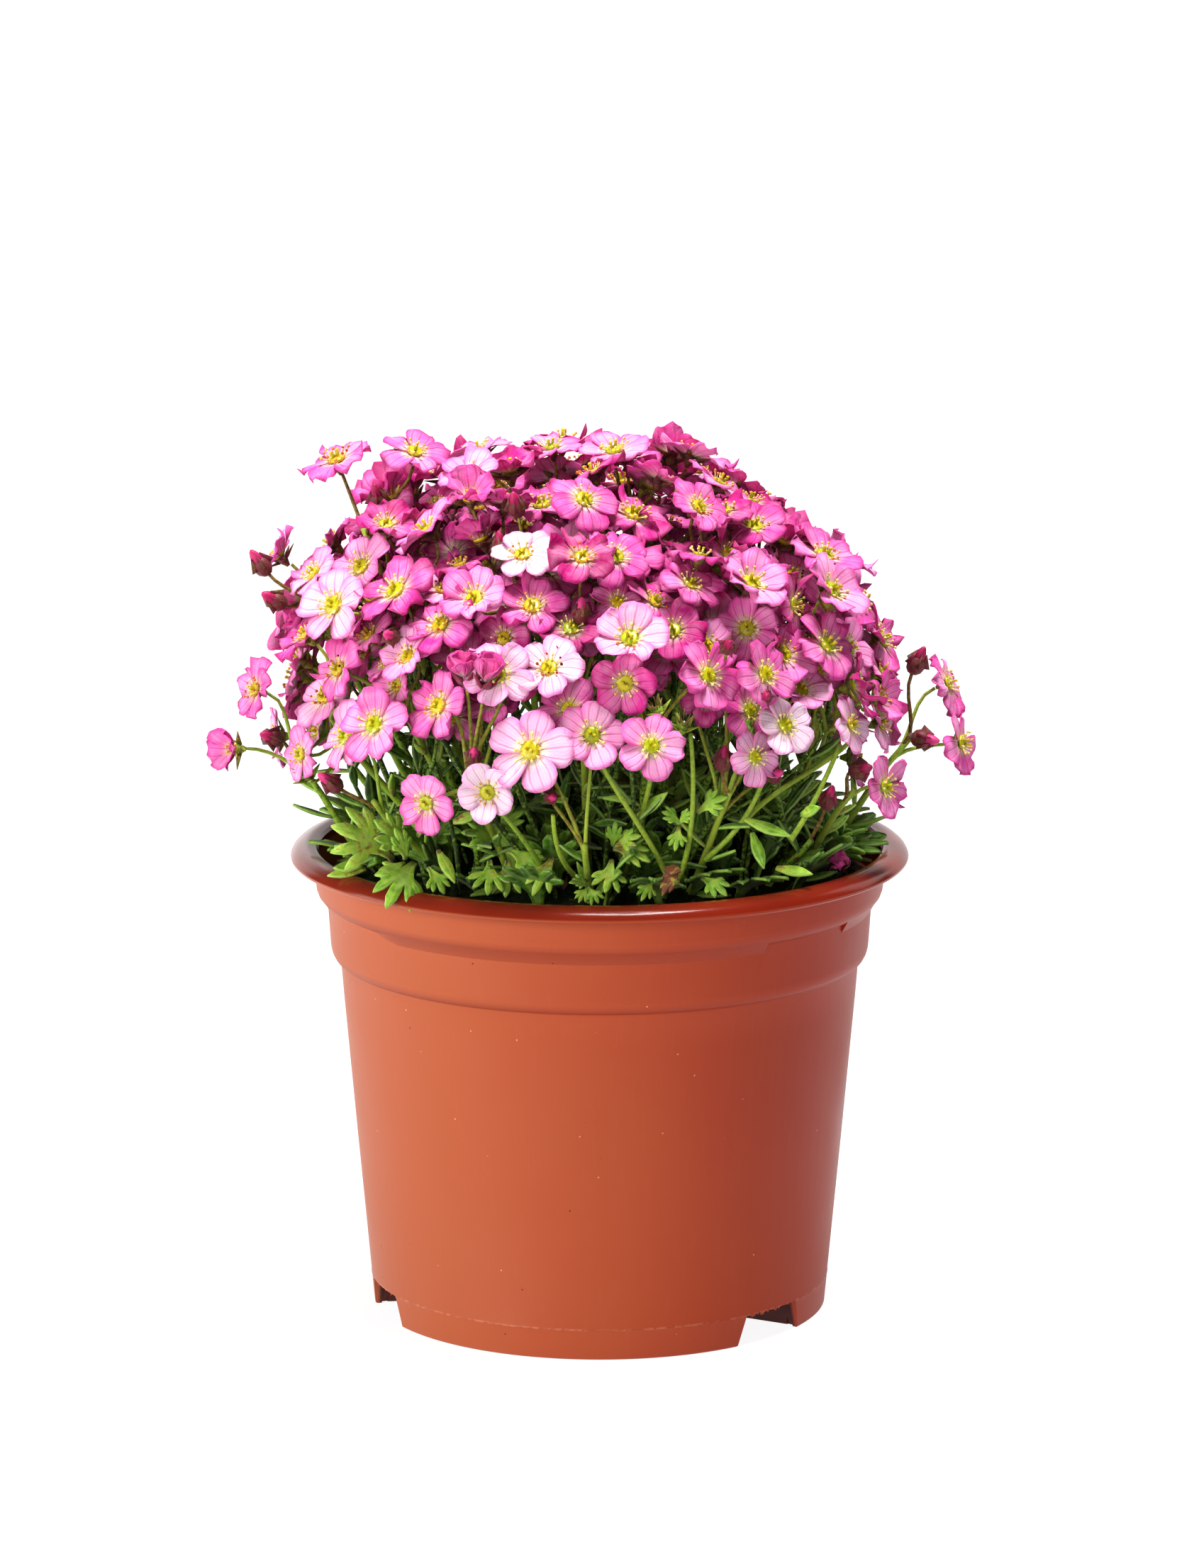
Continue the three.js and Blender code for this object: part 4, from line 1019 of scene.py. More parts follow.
def bloomMatrix(bloom, tilt=0.0, turn=0.0):
    matrix = axes(bloom["across"], bloom["along"], bloom["normal"], bloom["centre"])
    return matrix @ Matrix.Rotation(tilt, 4, (math.cos(turn), math.sin(turn), 0))


stalks = {"stemSides": 7, "stemRadii": (0.85, 0.55), "pedicelRadii": (0.45, 0.32), "stemHairs": 60,
          "pedicelHairs": 16, "hairLength": 0.9, "bow": 3.6}


def addStem(pile, spray, draw):
    foot, top = Vector(footOf(spray)), Vector(stalkPoint(spray, dome["nodeStep"] * 2))
    foot = foot + (foot - top).normalized() * 1.5
    run = top - foot
    side = Matrix.Rotation(draw(0, 6.28), 4, run.normalized()) @ run.orthogonal().normalized()
    side = side * draw(-1, 1) * stalks["bow"]
    path = []
    for k in range(11):
        t = k / 10
        path.append(foot + run * t + side * math.sin(math.pi * min(1, t * 1.25)) * (1 - t))
    low, high = stalks["stemRadii"]
    radii = [low + (high - low) * k / 10 for k in range(11)]
    part = newPart()
    tube(part, path, radii, stalks["stemSides"], draw(0.06, 0.3))
    hairs(part, path, radii, stalks["stemHairs"], stalks["hairLength"], 0.2, draw)
    addTo(pile, part)
    return path


def addPedicel(pile, start, way, end, aim, tone, draw):
    start, end = Vector(start), Vector(end)
    pull = (end - start).length
    path = bezier(start, start + Vector(way) * pull * 0.35, end - Vector(aim) * pull * 0.35, end, 6)
    low, high = stalks["pedicelRadii"]
    radii = [low + (high - low) * k / 6 for k in range(7)]
    part = newPart()
    tube(part, path, radii, 6, tone)
    hairs(part, path, radii, stalks["pedicelHairs"], stalks["hairLength"] * 0.8, max(0.2, tone - 0.1), draw)
    addTo(pile, part)


def addBud(pile, tip, aim, length, crimson, draw):  # a calyx cup, sepals pressed on and rolled petals
    matrix = facing(aim, tip)
    half = length * 0.34
    cup = newPart()
    verts = bmesh.ops.create_uvsphere(cup, u_segments=8, v_segments=6, radius=half)["verts"]
    for vert in verts:
        vert.co.z = vert.co.z * 1.15 - length * 0.6
    paint(cup, verts, 0.82)
    for k in range(5):
        turn = aboutZ(72 * k)
        way = (turn @ Vector((-0.2, 0, 1))).normalized()
        root = turn @ Vector((half * 0.72, 0, -length * 0.36))
        place = Matrix.Translation(root) @ facing(way, (0, 0, 0)) @ Matrix.Scale(0.45, 4, (1, 0, 0))
        sepal = cone(cup, 4, half * 0.62, 0.08, length * 0.5, Matrix())
        bmesh.ops.transform(cup, matrix=place, verts=sepal)
        paint(cup, sepal, 0.7 + draw(0, 0.2))
    addTo(pile, cup, matrix, 0)
    roll = newPart()
    verts = bmesh.ops.create_uvsphere(roll, u_segments=7, v_segments=5, radius=half * 0.8)["verts"]
    for vert in verts:
        share = (vert.co.z / (half * 0.8) + 1) / 2
        vert.co.x *= 1 - 0.5 * share
        vert.co.y *= 1 - 0.5 * share
        vert.co.z = vert.co.z * 1.25 - length * 0.2
    bmesh.ops.rotate(roll, verts=verts, cent=(0, 0, 0), matrix=Matrix.Rotation(draw(0, 1), 3, "Z"))
    paint(roll, verts, crimson)
    addTo(pile, roll, matrix, 1)


def addTrumpet(petalPile, pile, tip, aim, length, tone, draw):  # a half open bloom, its petals still upright
    matrix = facing(aim, plus(tip, aim, -0.75 * length)) @ Matrix.Rotation(draw(0, 1), 4, "Z")
    addTo(petalPile, corolla(length * 0.78, tone, draw, lambda: (1.35, 1.15 + draw(-0.1, 0.2))), matrix)
    addCalyx(pile, length * 0.95, matrix, 0.85, draw, 1.0)


def addSpent(pile, centre, aim, radius, draw):  # petals gone: a green cup, long sepals and browned stamens
    matrix = facing(aim, centre)
    addCalyx(pile, radius * 1.25, matrix, 0.18, draw, 0.7)
    threads = newPart()
    for k in range(9):
        turn = k * 0.7 + draw(-0.2, 0.2)
        way = Vector((math.cos(turn) * 0.5, math.sin(turn) * 0.5, 1)).normalized()
        size = radius * draw(0.35, 0.6)
        root = Vector((math.cos(turn), math.sin(turn), 0)) * 0.15 * radius
        cone(threads, 3, 0.12, 0.1, size, facing(way, root + way * size / 2), draw(0.5, 1))
    addTo(pile, threads, matrix, 2)


# Leaves

leafShape = {
    "thickness": 0.5, "tips": ((-0.38, 0.62), (-0.29, 0.86), (0, 1), (0.29, 0.86), (0.38, 0.62)),
    "palm": ((-0.15, 0.38), (-0.165, 0.44), (-0.15, 0.49), (-0.115, 0.52), (-0.075, 0.56), (0, 0.56)),
    "stalk": 0.055, "broad": 0.066, "columns": 10, "rows": 6,
}


def addLeaf(pile, leaf, tone, draw, fingers=1.0):  # a wedge that parts into five fingers
    part = newPart()
    columns, rows = leafShape["columns"], leafShape["rows"]
    bmesh.ops.create_grid(part, x_segments=columns, y_segments=rows, size=1, calc_uvs=True)

    def cellOf(vert):
        return round((vert.co.x + 1) / 2 * columns), round((vert.co.y + 1) / 2 * rows)

    palmRow = rows // 2
    gaps = []
    for edge in part.edges:
        (column, row), (other, otherRow) = [cellOf(vert) for vert in edge.verts]
        if column == other and column in (2, 4, 6, 8) and min(row, otherRow) >= palmRow:
            gaps.append(edge)
    bmesh.ops.split_edges(part, edges=gaps)
    palm = list(leafShape["palm"]) + [(-x, y) for x, y in leafShape["palm"][:-1]][::-1]
    uv = part.loops.layers.uv["along"]
    tips = [(x * fingers * draw(0.85, 1.1), y * draw(0.93, 1.04)) for x, y in leafShape["tips"]]
    curl = draw(-0.12, 0.2)
    cells = {}
    for vert in part.verts:
        middle = sum(face.calc_center_median().x for face in vert.link_faces) / len(vert.link_faces)
        cells[vert] = (*cellOf(vert), min(4, int((middle + 1) / 2 * 5)))
    for vert, (column, row, finger) in cells.items():
        if row <= palmRow:
            share = row / palmRow
            side = column / columns * 2 - 1
            start = side * leafShape["stalk"]
            x, y = start + (palm[column][0] - start) * share ** 2.2, palm[column][1] * share
            lift = 0.25 * abs(side) ** 2 * share * (1 - share) * 0.4
        else:
            side = column - finger * 2 - 1
            share = (row - palmRow) / (rows - palmRow)
            root, tip = palm[finger * 2 + 1], tips[finger]
            broad = leafShape["broad"] * (1.25 if finger == 2 else 1) * (1.1, 1.05, 0.4)[row - palmRow - 1]
            run = Vector((tip[0] - root[0], tip[1] - root[1]))
            sideways = Vector((run.y, -run.x)).normalized()
            drop = 0.03 * abs(side) if row == rows else 0
            x, y = Vector(root) + run * share - run.normalized() * drop + sideways * side * broad
            lift = 0.02 * side * side - curl * share * share * 0.35
        vert.co = leafPoint(leaf, x, y, lift * leaf["length"])
        for loop in vert.link_loops:
            loop[uv].uv = (0.5 + 0.5 * side * (1 if row > palmRow else abs(side)), y)
    paint(part, part.verts, tone)
    addTo(pile, part)


def addBlade(pile, root, way, face, length, half, bend, tone):  # a narrow stem leaf
    part = newPart()
    verts = bmesh.ops.create_grid(part, x_segments=2, y_segments=6, size=1, calc_uvs=True)["verts"]
    widths = (0.35, 0.6, 0.9, 1.0, 0.85, 0.5, 0.06)
    for vert in verts:
        t = (vert.co.y + 1) / 2
        side = vert.co.x
        width = widths[round(t * 6)] * half
        up = bend * length * t * t * 0.45 + 0.35 * side * side * width
        vert.co = (side * width, t * length * (1 - 0.15 * bend * t), up)
    paint(part, verts, tone)
    along = Vector(way).normalized()
    across = along.cross(Vector(face)).normalized()
    addTo(pile, part, axes(across, along, across.cross(along), root))


print("shapes ready")


# The pot

potShape = {
    "steps": 128,
    "section": (
        (0, 6), (43, 6), (43, 0), (43.9, 0), (44.25, 0.25), (44.65, 4.5), (44.76, 5.8), (44.85, 6.02),
        (44.79, 6.25), (47.3, 33.3), (49.86, 61.9), (50.42, 69), (50.55, 69.3), (51.1, 69.5), (51.65, 69.95),
        (52.05, 70.7), (52.28, 71.6), (52.36, 72.4), (52.9, 80.5), (53, 80.95), (53.6, 81.25),
        (54.25, 81.75), (54.75, 82.4), (55.05, 83.25), (55.17, 84.2), (55.6, 88.6), (55.85, 88.8),
        (59.6, 88.9), (59.92, 89.2), (60, 89.6), (59.6, 90.4), (58.9, 91), (58.1, 91.4), (57, 91.7),
        (55.9, 91.7), (55.1, 91.4), (54.6, 90.8), (54.1, 83.7), (51.6, 80.8), (51.2, 74.2), (49.1, 69),
        (43.2, 7.2), (0, 7.2),
    ),
    "slope": ((52.72, 79.25), (54.16, 81.72), (53.4, 82.1), (52.3, 79.9)),
    "slopeSteps": 38, "slopeRun": 12, "slopeSink": 0.023, "windowHalf": 12.5,
    "notches": (-41.5, 78.5, 198.5), "notchWidths": (18, 14.6),
    "webTurn": 12.4, "webThickness": 1.2, "webRun": (15, 43.6), "drain": 4.5, "drainRing": 30,
}


def helper(part):  # a passing object for a boolean, in millimetres
    bmesh.ops.recalc_face_normals(part, faces=part.faces)
    mesh = bpy.data.meshes.new("helper")
    part.to_mesh(mesh)
    part.free()
    made = bpy.data.objects.new("helper", mesh)
    scene.collection.objects.link(made)
    return made


def turned(section, steps, angle=2 * math.pi, start=0.0, closedLoop=False):
    part = bmesh.new()
    verts = [part.verts.new((r, 0, z)) for r, z in section]
    if closedLoop:
        part.faces.new(verts)
    else:
        for a, b in zip(verts, verts[1:]):
            part.edges.new((a, b))
    bmesh.ops.rotate(part, verts=part.verts, cent=(0, 0, 0), matrix=Matrix.Rotation(start, 3, "Z"))
    everything = part.verts[:] + part.edges[:] + part.faces[:]
    bmesh.ops.spin(part, geom=everything, cent=(0, 0, 0), axis=(0, 0, 1), angle=angle, steps=steps,
                   use_merge=angle > 6.28)
    bmesh.ops.remove_doubles(part, verts=part.verts, dist=0.0005)
    bmesh.ops.recalc_face_normals(part, faces=part.faces)
    return part


def notchCutter(turn):
    notch = bmesh.new()
    low, high = potShape["notchWidths"]
    for vert in bmesh.ops.create_cube(notch, size=1)["verts"]:
        width = high if vert.co.z > 0 else low + (low - high) / 6
        vert.co = (46 + vert.co.x * 10, vert.co.y * width, 6 if vert.co.z > 0 else -1)
    bmesh.ops.transform(notch, matrix=turn, verts=notch.verts)
    return helper(notch)


def drainCutter(turn, flat):
    drain = bmesh.new()
    cone(drain, 32, potShape["drain"], potShape["drain"], 4, turn @ Matrix.Translation((flat, 0, 6.6)))
    return helper(drain)


def footWeb(turn, side):
    web = bmesh.new()
    near, far = potShape["webRun"]
    for vert in bmesh.ops.create_cube(web, size=1)["verts"]:
        low = vert.co.z < 0
        inset = 2.5 if low and vert.co.x < 0 else 0
        thick = potShape["webThickness"] * (0.8 if low else 1)
        vert.co = (near + (vert.co.x + 0.5) * (far - near) + inset, vert.co.y * thick, 0.3 if low else 6.4)
    bmesh.ops.transform(web, matrix=turn @ aboutZ(side * potShape["webTurn"]), verts=web.verts)
    return helper(web)


def ledgeSlope(turn, grows):  # eases the ledge, and stops at a window above each notch
    half = math.radians(60 - potShape["windowHalf"])
    slope = turned(potShape["slope"], potShape["slopeSteps"], 2 * half, -half, True)
    for vert in slope.verts:  # the front slope grows slowly out of the wall at its left end
        past = math.degrees(math.atan2(vert.co.y, vert.co.x) + half)
        if grows and past < potShape["slopeRun"]:
            sink = 1 - potShape["slopeSink"] * (1 - past / potShape["slopeRun"])
            vert.co.x *= sink
            vert.co.y *= sink
    bmesh.ops.transform(slope, matrix=turn @ aboutZ(60), verts=slope.verts)
    return helper(slope)


def makePot():
    body = helper(turned(potShape["section"], potShape["steps"]))
    cutters, added = [], []
    for azimuth in potShape["notches"]:
        turn = aboutZ(azimuth)
        cutters += [notchCutter(turn), drainCutter(turn, potShape["drainRing"])]
        added += [footWeb(turn, -1), footWeb(turn, 1), ledgeSlope(turn, azimuth > 180)]
    cutters.append(drainCutter(Matrix(), 0))
    for operation, tools in (("UNION", added), ("DIFFERENCE", cutters)):
        for tool in tools:
            change = body.modifiers.new("change", "BOOLEAN")
            change.object, change.operation, change.solver = tool, operation, "EXACT"
    graph = bpy.context.evaluated_depsgraph_get()
    mesh = bpy.data.meshes.new_from_object(body.evaluated_get(graph))
    part = bmesh.new()
    part.from_mesh(mesh)
    for used in [body] + cutters + added:
        bpy.data.objects.remove(used)
    bmesh.ops.remove_doubles(part, verts=part.verts, dist=0.001)
    return part


def addFlash(pile, draw):  # ragged plastic left where the mould closed, along the tops of the notches
    for azimuth in potShape["notches"]:
        for _ in range(26):
            across = draw(-7.2, 7.2)
            turn = Matrix.Rotation(math.radians(azimuth) + across / 44.5, 4, "Z")
            size, wide = draw(0.25, 0.8), draw(0.25, 0.6)
            place = turn @ Matrix.Translation((draw(44.2, 44.65), 0, 6.1 - size / 2))
            hanging = place @ Matrix.Rotation(math.pi, 4, "X")
            cone(pile, 4, wide, 0.05, size, hanging @ Matrix.Scale(0.35, 4, (1, 0, 0)))


draw = seededDraw(411)
potPart = makePot()
addFlash(potPart, draw)
finishPiece("potShell", potPart, [potPlastic], ["pot"], sharpAngle=23)
print("pot made")


# The soil and the mat of old growth

soilShape = {"top": 85.3, "edge": 84.2, "steps": 96, "crumbs": 330, "fibres": 70, "rough": 0.9}


def makeSoil(draw):
    drop = soilShape["top"] - soilShape["edge"]
    rings = [(k * 1.55, soilShape["top"] - drop * (k / 34) ** 2) for k in range(35)]
    sides = [(51.1, 80.4), (50.8, 74.4), (48.7, 68.8), (42.9, 7.5), (0, 7.5)]
    part = turned(rings + sides, soilShape["steps"])
    for vert in part.verts:
        if vert.co.z > 83:
            flat = math.hypot(vert.co.x, vert.co.y)
            rough = noise.noise(vert.co * 0.35) + 0.6 * noise.noise(vert.co * 1.1)
            vert.co.z += soilShape["rough"] * rough * min(1, (53.2 - flat) / 1.5)
    pile = newPart()
    addTo(pile, part)
    for _ in range(soilShape["crumbs"]):
        turn, flat, size = draw(0, 6.283), draw(43, 52), draw(0.35, 1.25)
        crumb = newPart()
        bmesh.ops.create_icosphere(crumb, subdivisions=1, radius=size)
        for vert in crumb.verts:
            vert.co *= draw(0.7, 1.2)
        place = Matrix.Translation(polar(flat, turn, 84.4 + size * 0.4))
        addTo(pile, crumb, place @ Matrix.Rotation(draw(0, 3), 4, "X"))
    for _ in range(soilShape["fibres"]):
        turn, flat, size = draw(0, 6.283), draw(42, 51), draw(2, 6)
        way = Vector((draw(-1, 1), draw(-1, 1), 0)).normalized() * size
        start = Vector(polar(flat, turn, 85.4))
        end = start + way
        if math.hypot(end.x, end.y) < 52:
            rise = start + Vector((draw(-1, 1), draw(-1, 1), draw(0.5, 2)))
            path = bezier(start, rise, end + Vector((0, 0, draw(0, 1.5))), end, 4)
            thread = newPart()
            tube(thread, path, (0.12, 0.16, 0.15, 0.12, 0.06), 4, 0.9)
            addTo(pile, thread)
    return pile


finishPiece("soilFill", makeSoil(draw), [compost], ["soil"])


# Leaves, stems, blooms and buds, clump by clump

tags = ["%02d" % (k + 1) for k in range(clumps["ring"])] + ["crown"]
cushionNames = ["cushion_" + tag for tag in tags]
piles = [{kind: newPart() for kind in ("petals", "hearts", "stalks", "leaves")} for _ in tags]

photo = {"width": 1660, "height": 2212, "lens": 159.92,
         "place": (-2.172, -1322.4739, 381.4973), "pitch": 0.2075}

# leaves read from the photograph: pixels of root and tip, their depths in millimetres, how wide the lobes are
seenLeaves = [
    ((555, 1212), (463, 1161), (-37, -42), 1.15), ((575, 1202), (524, 1156), (-36, -40), 1.0),
    ((572, 1212), (556, 1166), (-38, -41), 0.7), ((584, 1217), (545, 1278), (-38, -48), 1.1),
    ((570, 1217), (536, 1241), (-39, -43), 0.9), ((604, 1224), (628, 1263), (-40, -44), 0.9),
    ((700, 1188), (650, 1173), (-38, -42), 1.1), ((691, 1214), (688, 1266), (-40, -46), 1.2),
    ((716, 1214), (713, 1268), (-39, -45), 1.1), ((717, 1200), (768, 1234), (-39, -44), 1.1),
    ((700, 1178), (739, 1142), (-36, -38), 0.9), ((618, 1200), (642, 1248), (-40, -45), 0),
    ((516, 1226), (460, 1238), (-30, -31), 0), ((511, 1221), (468, 1228), (-30, -31), 0),
    ((590, 1180), (604, 1140), (-37, -39), 0.8), ((866, 1197), (916, 1214), (-43, -47), 0.9),
    ((866, 1195), (906, 1178), (-43, -46), 0.9), ((864, 1193), (868, 1160), (-43, -45), 0.8),
    ((863, 1213), (853, 1264), (-44, -49), 1.2), ((828, 1252), (816, 1274), (-47, -50), 1.0),
    ((828, 1252), (846, 1276), (-47, -50), 1.0), ((828, 1250), (808, 1240), (-47, -49), 1.0),
    ((984, 1146), (1026, 1124), (-44, -46), 1.1), ((958, 1162), (934, 1144), (-44, -46), 0.9),
    ((958, 1162), (978, 1144), (-44, -46), 0.8), ((958, 1166), (952, 1200), (-44, -47), 1.0),
    ((1051, 1156), (1118, 1188), (-44, -47), 0), ((1061, 1175), (1077, 1230), (-44, -48), 0),
    ((990, 1239), (1026, 1264), (-44, -49), 0.9), ((780, 1210), (752, 1262), (-42, -47), 1.0),
    ((900, 1152), (948, 1118), (-44, -46), 0), ((1130, 1150), (1160, 1140), (-38, -40), 0),
    ((920, 1245), (905, 1270), (-45, -49), 1.0), ((1095, 1225), (1150, 1238), (-38, -42), 0),
    ((800, 1130), (760, 1118), (-44, -46), 0), ((640, 1160), (680, 1150), (-38, -40), 0),
]
# and stems that stand out before the dark: four pixels of a curve each, from the top down
seenStems = [
    ((844, 1068), (868, 1125), (918, 1175), (949, 1256)),
    ((1096, 1045), (1070, 1125), (1055, 1165), (994, 1213)),
    ((1214, 1030), (1170, 1085), (1100, 1100), (1048, 1160)),
    ((917, 1045), (924, 1105), (912, 1120), (880, 1235)),
    ((974, 1035), (982, 1120), (978, 1200), (952, 1254)),
    ((1185, 1050), (1165, 1100), (1140, 1150), (1115, 1185)),
    ((703, 1142), (730, 1170), (750, 1200), (775, 1240)),
    ((780, 1150), (782, 1200), (795, 1225), (821, 1245)),
]

growth = {
    "rosettes": 22, "rosetteLeaves": 6, "rosetteSizes": (11, 16), "scraps": 420, "stemLeaves": 4,
    "innerStems": 110, "seed": 90210, "bloomSeed": 4407,
}
draw = seededDraw(growth["seed"])


def clumpAt(point):
    return clumpOf((point[0], point[1], max(point[2], dome["fanHeight"] + 1)))


def swung(a, b, turn):  # a, turned towards b
    return plus(tuple(math.cos(turn) * c for c in a), b, math.sin(turn))


def addRosette(centre, axis, count, sizes, tone):
    pile = piles[clumpAt(centre)]["leaves"]
    axis = unit(axis)
    first = unit(cross(axis, (0.31, 0.87, 0.38)))
    second = cross(axis, first)
    for k in range(count):
        turn = k * goldenAngle + draw(-0.4, 0.4)
        share = (k + 0.5) / count
        rise = 1.15 - 0.85 * share + draw(-0.3, 0.3)
        length = sizes[0] + (sizes[1] - sizes[0]) * share * draw(0.6, 1.2)
        along = unit(swung(swung(first, second, turn), axis, rise))
        leaf = leafFrom(plus(centre, axis, -1.2), along, unit(cross(along, axis)), length)
        if inPot(leafPoint(leaf, 0, 1, 0)) and inPot(leafPoint(leaf, 0, 0.6, 0)):
            shade = tone + 0.25 * (1 - share) + draw(-0.1, 0.1)
            addLeaf(pile, leaf, max(0.05, min(0.78, shade)), draw)


def seen(px, py, depth):  # the point in millimetres that a pixel shows at a depth
    focal = photo["lens"] / 36 * photo["height"]
    across, up = px - photo["width"] / 2, photo["height"] / 2 - py
    low, level = math.sin(photo["pitch"]), math.cos(photo["pitch"])
    ray = (across, focal * level + up * low, up * level - focal * low)
    return plus(photo["place"], ray, (depth - photo["place"][1]) / ray[1])


def addSeenLeaf(root, tip, depths, wide, tone):  # with five lobes, or a narrow leaf if it is given no width
    start, end = seen(*root, depths[0]), seen(*tip, depths[1])
    along = unit(minus(end, start))
    leaf = leafFrom(start, along, unit(cross(along, (0.1, -0.75, 0.65))), apart(start, end))
    pile = piles[clumpAt(start)]["leaves"]
    if wide:
        addLeaf(pile, leaf, tone, draw, wide)
    else:
        addBlade(pile, start, along, leaf["normal"], leaf["length"], 1.15, draw(0.1, 0.4), tone)


def addSeenStem(curve):
    top = seen(*curve[0], -45)
    depth = frontPoint(top[0], top[2])[1] + 5  # the top ends behind the blooms, the foot at 41 mm in front
    pulls = [Vector(seen(px, py, depth + (-41 - depth) * k / 3)) for k, (px, py) in enumerate(curve)]
    path = bezier(*pulls, 10)
    part = newPart()
    radii = [0.42 + 0.016 * k for k in range(11)]
    tube(part, path, radii, 7, draw(0.1, 0.25))
    hairs(part, path, radii, stalks["stemHairs"], stalks["hairLength"], 0.2, draw)
    addTo(piles[clumpAt(path[-1])]["stalks"], part)


# painted shade: leaves rooted further to the right are darker
for leaf in leaves:
    addLeaf(piles[leaf["clump"]]["leaves"], leaf, draw(0.2, 0.55) - 0.003 * max(0, leaf["root"][0]), draw)
for k in range(growth["rosettes"]):
    share = (k + 0.5) / growth["rosettes"]
    flat, azimuth = 11 + 33 * math.sqrt(share), k * goldenAngle + 0.6
    lift = draw(1, 5) + 13 * (1 - (flat / 46) ** 2) * draw(0.2, 1)
    centre = polar(flat, azimuth, coreTop(flat) + lift)
    if centre[1] > -24:
        axis = polar(0.15 + 0.55 * share, azimuth, 1)
        addRosette(centre, axis, growth["rosetteLeaves"], growth["rosetteSizes"], draw(0.25, 0.5))
# painted shade: seen leaves further to the right are darker
for root, tip, depths, wide in seenLeaves:
    addSeenLeaf(root, tip, depths, wide, draw(0.56, 0.76) - 0.0003 * max(0, root[0] - 845))
for curve in seenStems:
    addSeenStem(curve)
addSeenLeaf((958, 1222), (934, 1262), (-48, -51), 0.5, 1.0)  # one has dried brown
addSeenLeaf((938, 1226), (962, 1232), (-48, -50), 0, 1.0)
addRosette((43, -9, 90.5), (0.6, -0.1, 0.8), 9, (11, 17), 0.3)
print("leaves laid", len(leaves), "and", growth["rosettes"], "rosettes and", len(seenLeaves), "seen")


def makeMat():  # old stems and dead leaves between the rosettes
    section = [(0, 91.2), (6, 91.2), (12, 91.2), (18.5, 91.1), (23, 90.8), (28, 90.4), (32, 90.1), (36, 89.4),
               (39, 88.8), (42, 88.1), (44.5, 87.3), (46.5, 86.3), (47.2, 85.1), (0, 85.1)]
    part = turned(section, 110)
    for vert in part.verts:
        if vert.co.z > 85.5:
            vert.co.z += 1.1 * noise.noise(vert.co * 0.5) + 0.7 * noise.noise(vert.co * 1.6)
    pile = newPart()
    addTo(pile, part)
    paint(pile, pile.verts, 0.35)
    for _ in range(growth["scraps"]):
        flat, azimuth = 47 * math.sqrt(draw(0.02, 1)), draw(0, 6.283)
        root = polar(flat, azimuth, coreTop(flat) - 0.6)
        way = (draw(-1, 1), draw(-1, 1), draw(0.1, 0.9))
        addBlade(pile, root, way, (0, 0, 1), draw(2.5, 6), draw(0.4, 0.8), draw(-0.5, 0.9), draw(0.1, 1))
    return pile


def addStemLeaves(pile, path, tones):
    for k in range(growth["stemLeaves"]):
        spot = 1.8 + (len(path) - 4.5) * (k + draw(0.1, 0.9)) / growth["stemLeaves"]
        i = int(spot)
        way = (path[i + 1] - path[i]).normalized()
        out = aside(way, draw)
        rise = way * draw(0.5, 1.3) + out
        length = draw(6, 11) * (1.1 - 0.05 * spot)
        half, bend = length * draw(0.09, 0.13), draw(-0.3, 0.5)
        root = path[i].lerp(path[i + 1], spot - i) + out * 0.5
        addBlade(pile, root, rise, way, length, half, bend, draw(*tones))


def addInnerStems(count):  # thinner stems between the carrying ones, which end under the blooms
    for k in range(count):
        flat, azimuth = 6 + 36 * math.sqrt((k + 0.5) / count), k * goldenAngle + draw(-0.3, 0.3)
        pile = piles[clumpAt(polar(flat, azimuth, 90))]
        foot = Vector(polar(flat, azimuth, 86.5))
        reach, turn = flat * draw(0.9, 1.35), azimuth + draw(-0.9, 0.9)
        top = Vector(polar(reach, turn, draw(118, 140) - 0.1 * flat))
        rise = Vector((draw(-7, 7), draw(-7, 7), 14))
        path = bezier(foot, foot + rise, top - Vector((draw(-9, 9), draw(-9, 9), 14)), top, 8)
        part = newPart()
        # painted shade: the inner stems and their leaves get the darkest greens
        tube(part, path, [draw(0.35, 0.6)] * 9, 5, draw(0, 0.07))
        addTo(pile["stalks"], part)
        addStemLeaves(pile["leaves"], path, (0.0, 0.3))


def growBloom(pile, bloom, way, draw):
    height = bloom["centre"][2]
    loose = 0.5 * max(0.12, min(1, (height - 122) / 40))  # the upper blooms hang looser
    matrix = bloomMatrix(bloom, draw(-loose, loose), draw(0, 3.14))
    lean = leanFor(draw(0, 0.92 if bloom["tone"] < 0.35 else 1), draw)
    addTo(pile["petals"], corolla(bloom["radius"], bloom["tone"], draw, lambda: lean), matrix)
    addHeart(pile["hearts"], bloom, matrix, max(0.0, draw(-0.9, 1)), draw)
    tone = max(0.1, min(0.62, 0.2 + (height - 105) / 130 + draw(-0.15, 0.15)))
    addCalyx(pile["stalks"], bloom["radius"], matrix, min(0.8, tone + 0.1), draw)
    addPedicel(pile["stalks"], bloom["hub"], way, neckOf(bloom), bloom["normal"], tone, draw)


def growUnder(pile, bloom, draw):  # a bloom in the shade, of which only petals and calyx can be seen
    part = corolla(bloom["radius"], bloom["tone"], draw, lambda: leanFor(draw(0, 0.9), draw))
    addTo(pile["petals"], part, bloomMatrix(bloom, draw(-0.4, 0.4), draw(0, 3.14)))
    addCalyx(pile["stalks"], bloom["radius"], bloomMatrix(bloom), 0.6, draw)


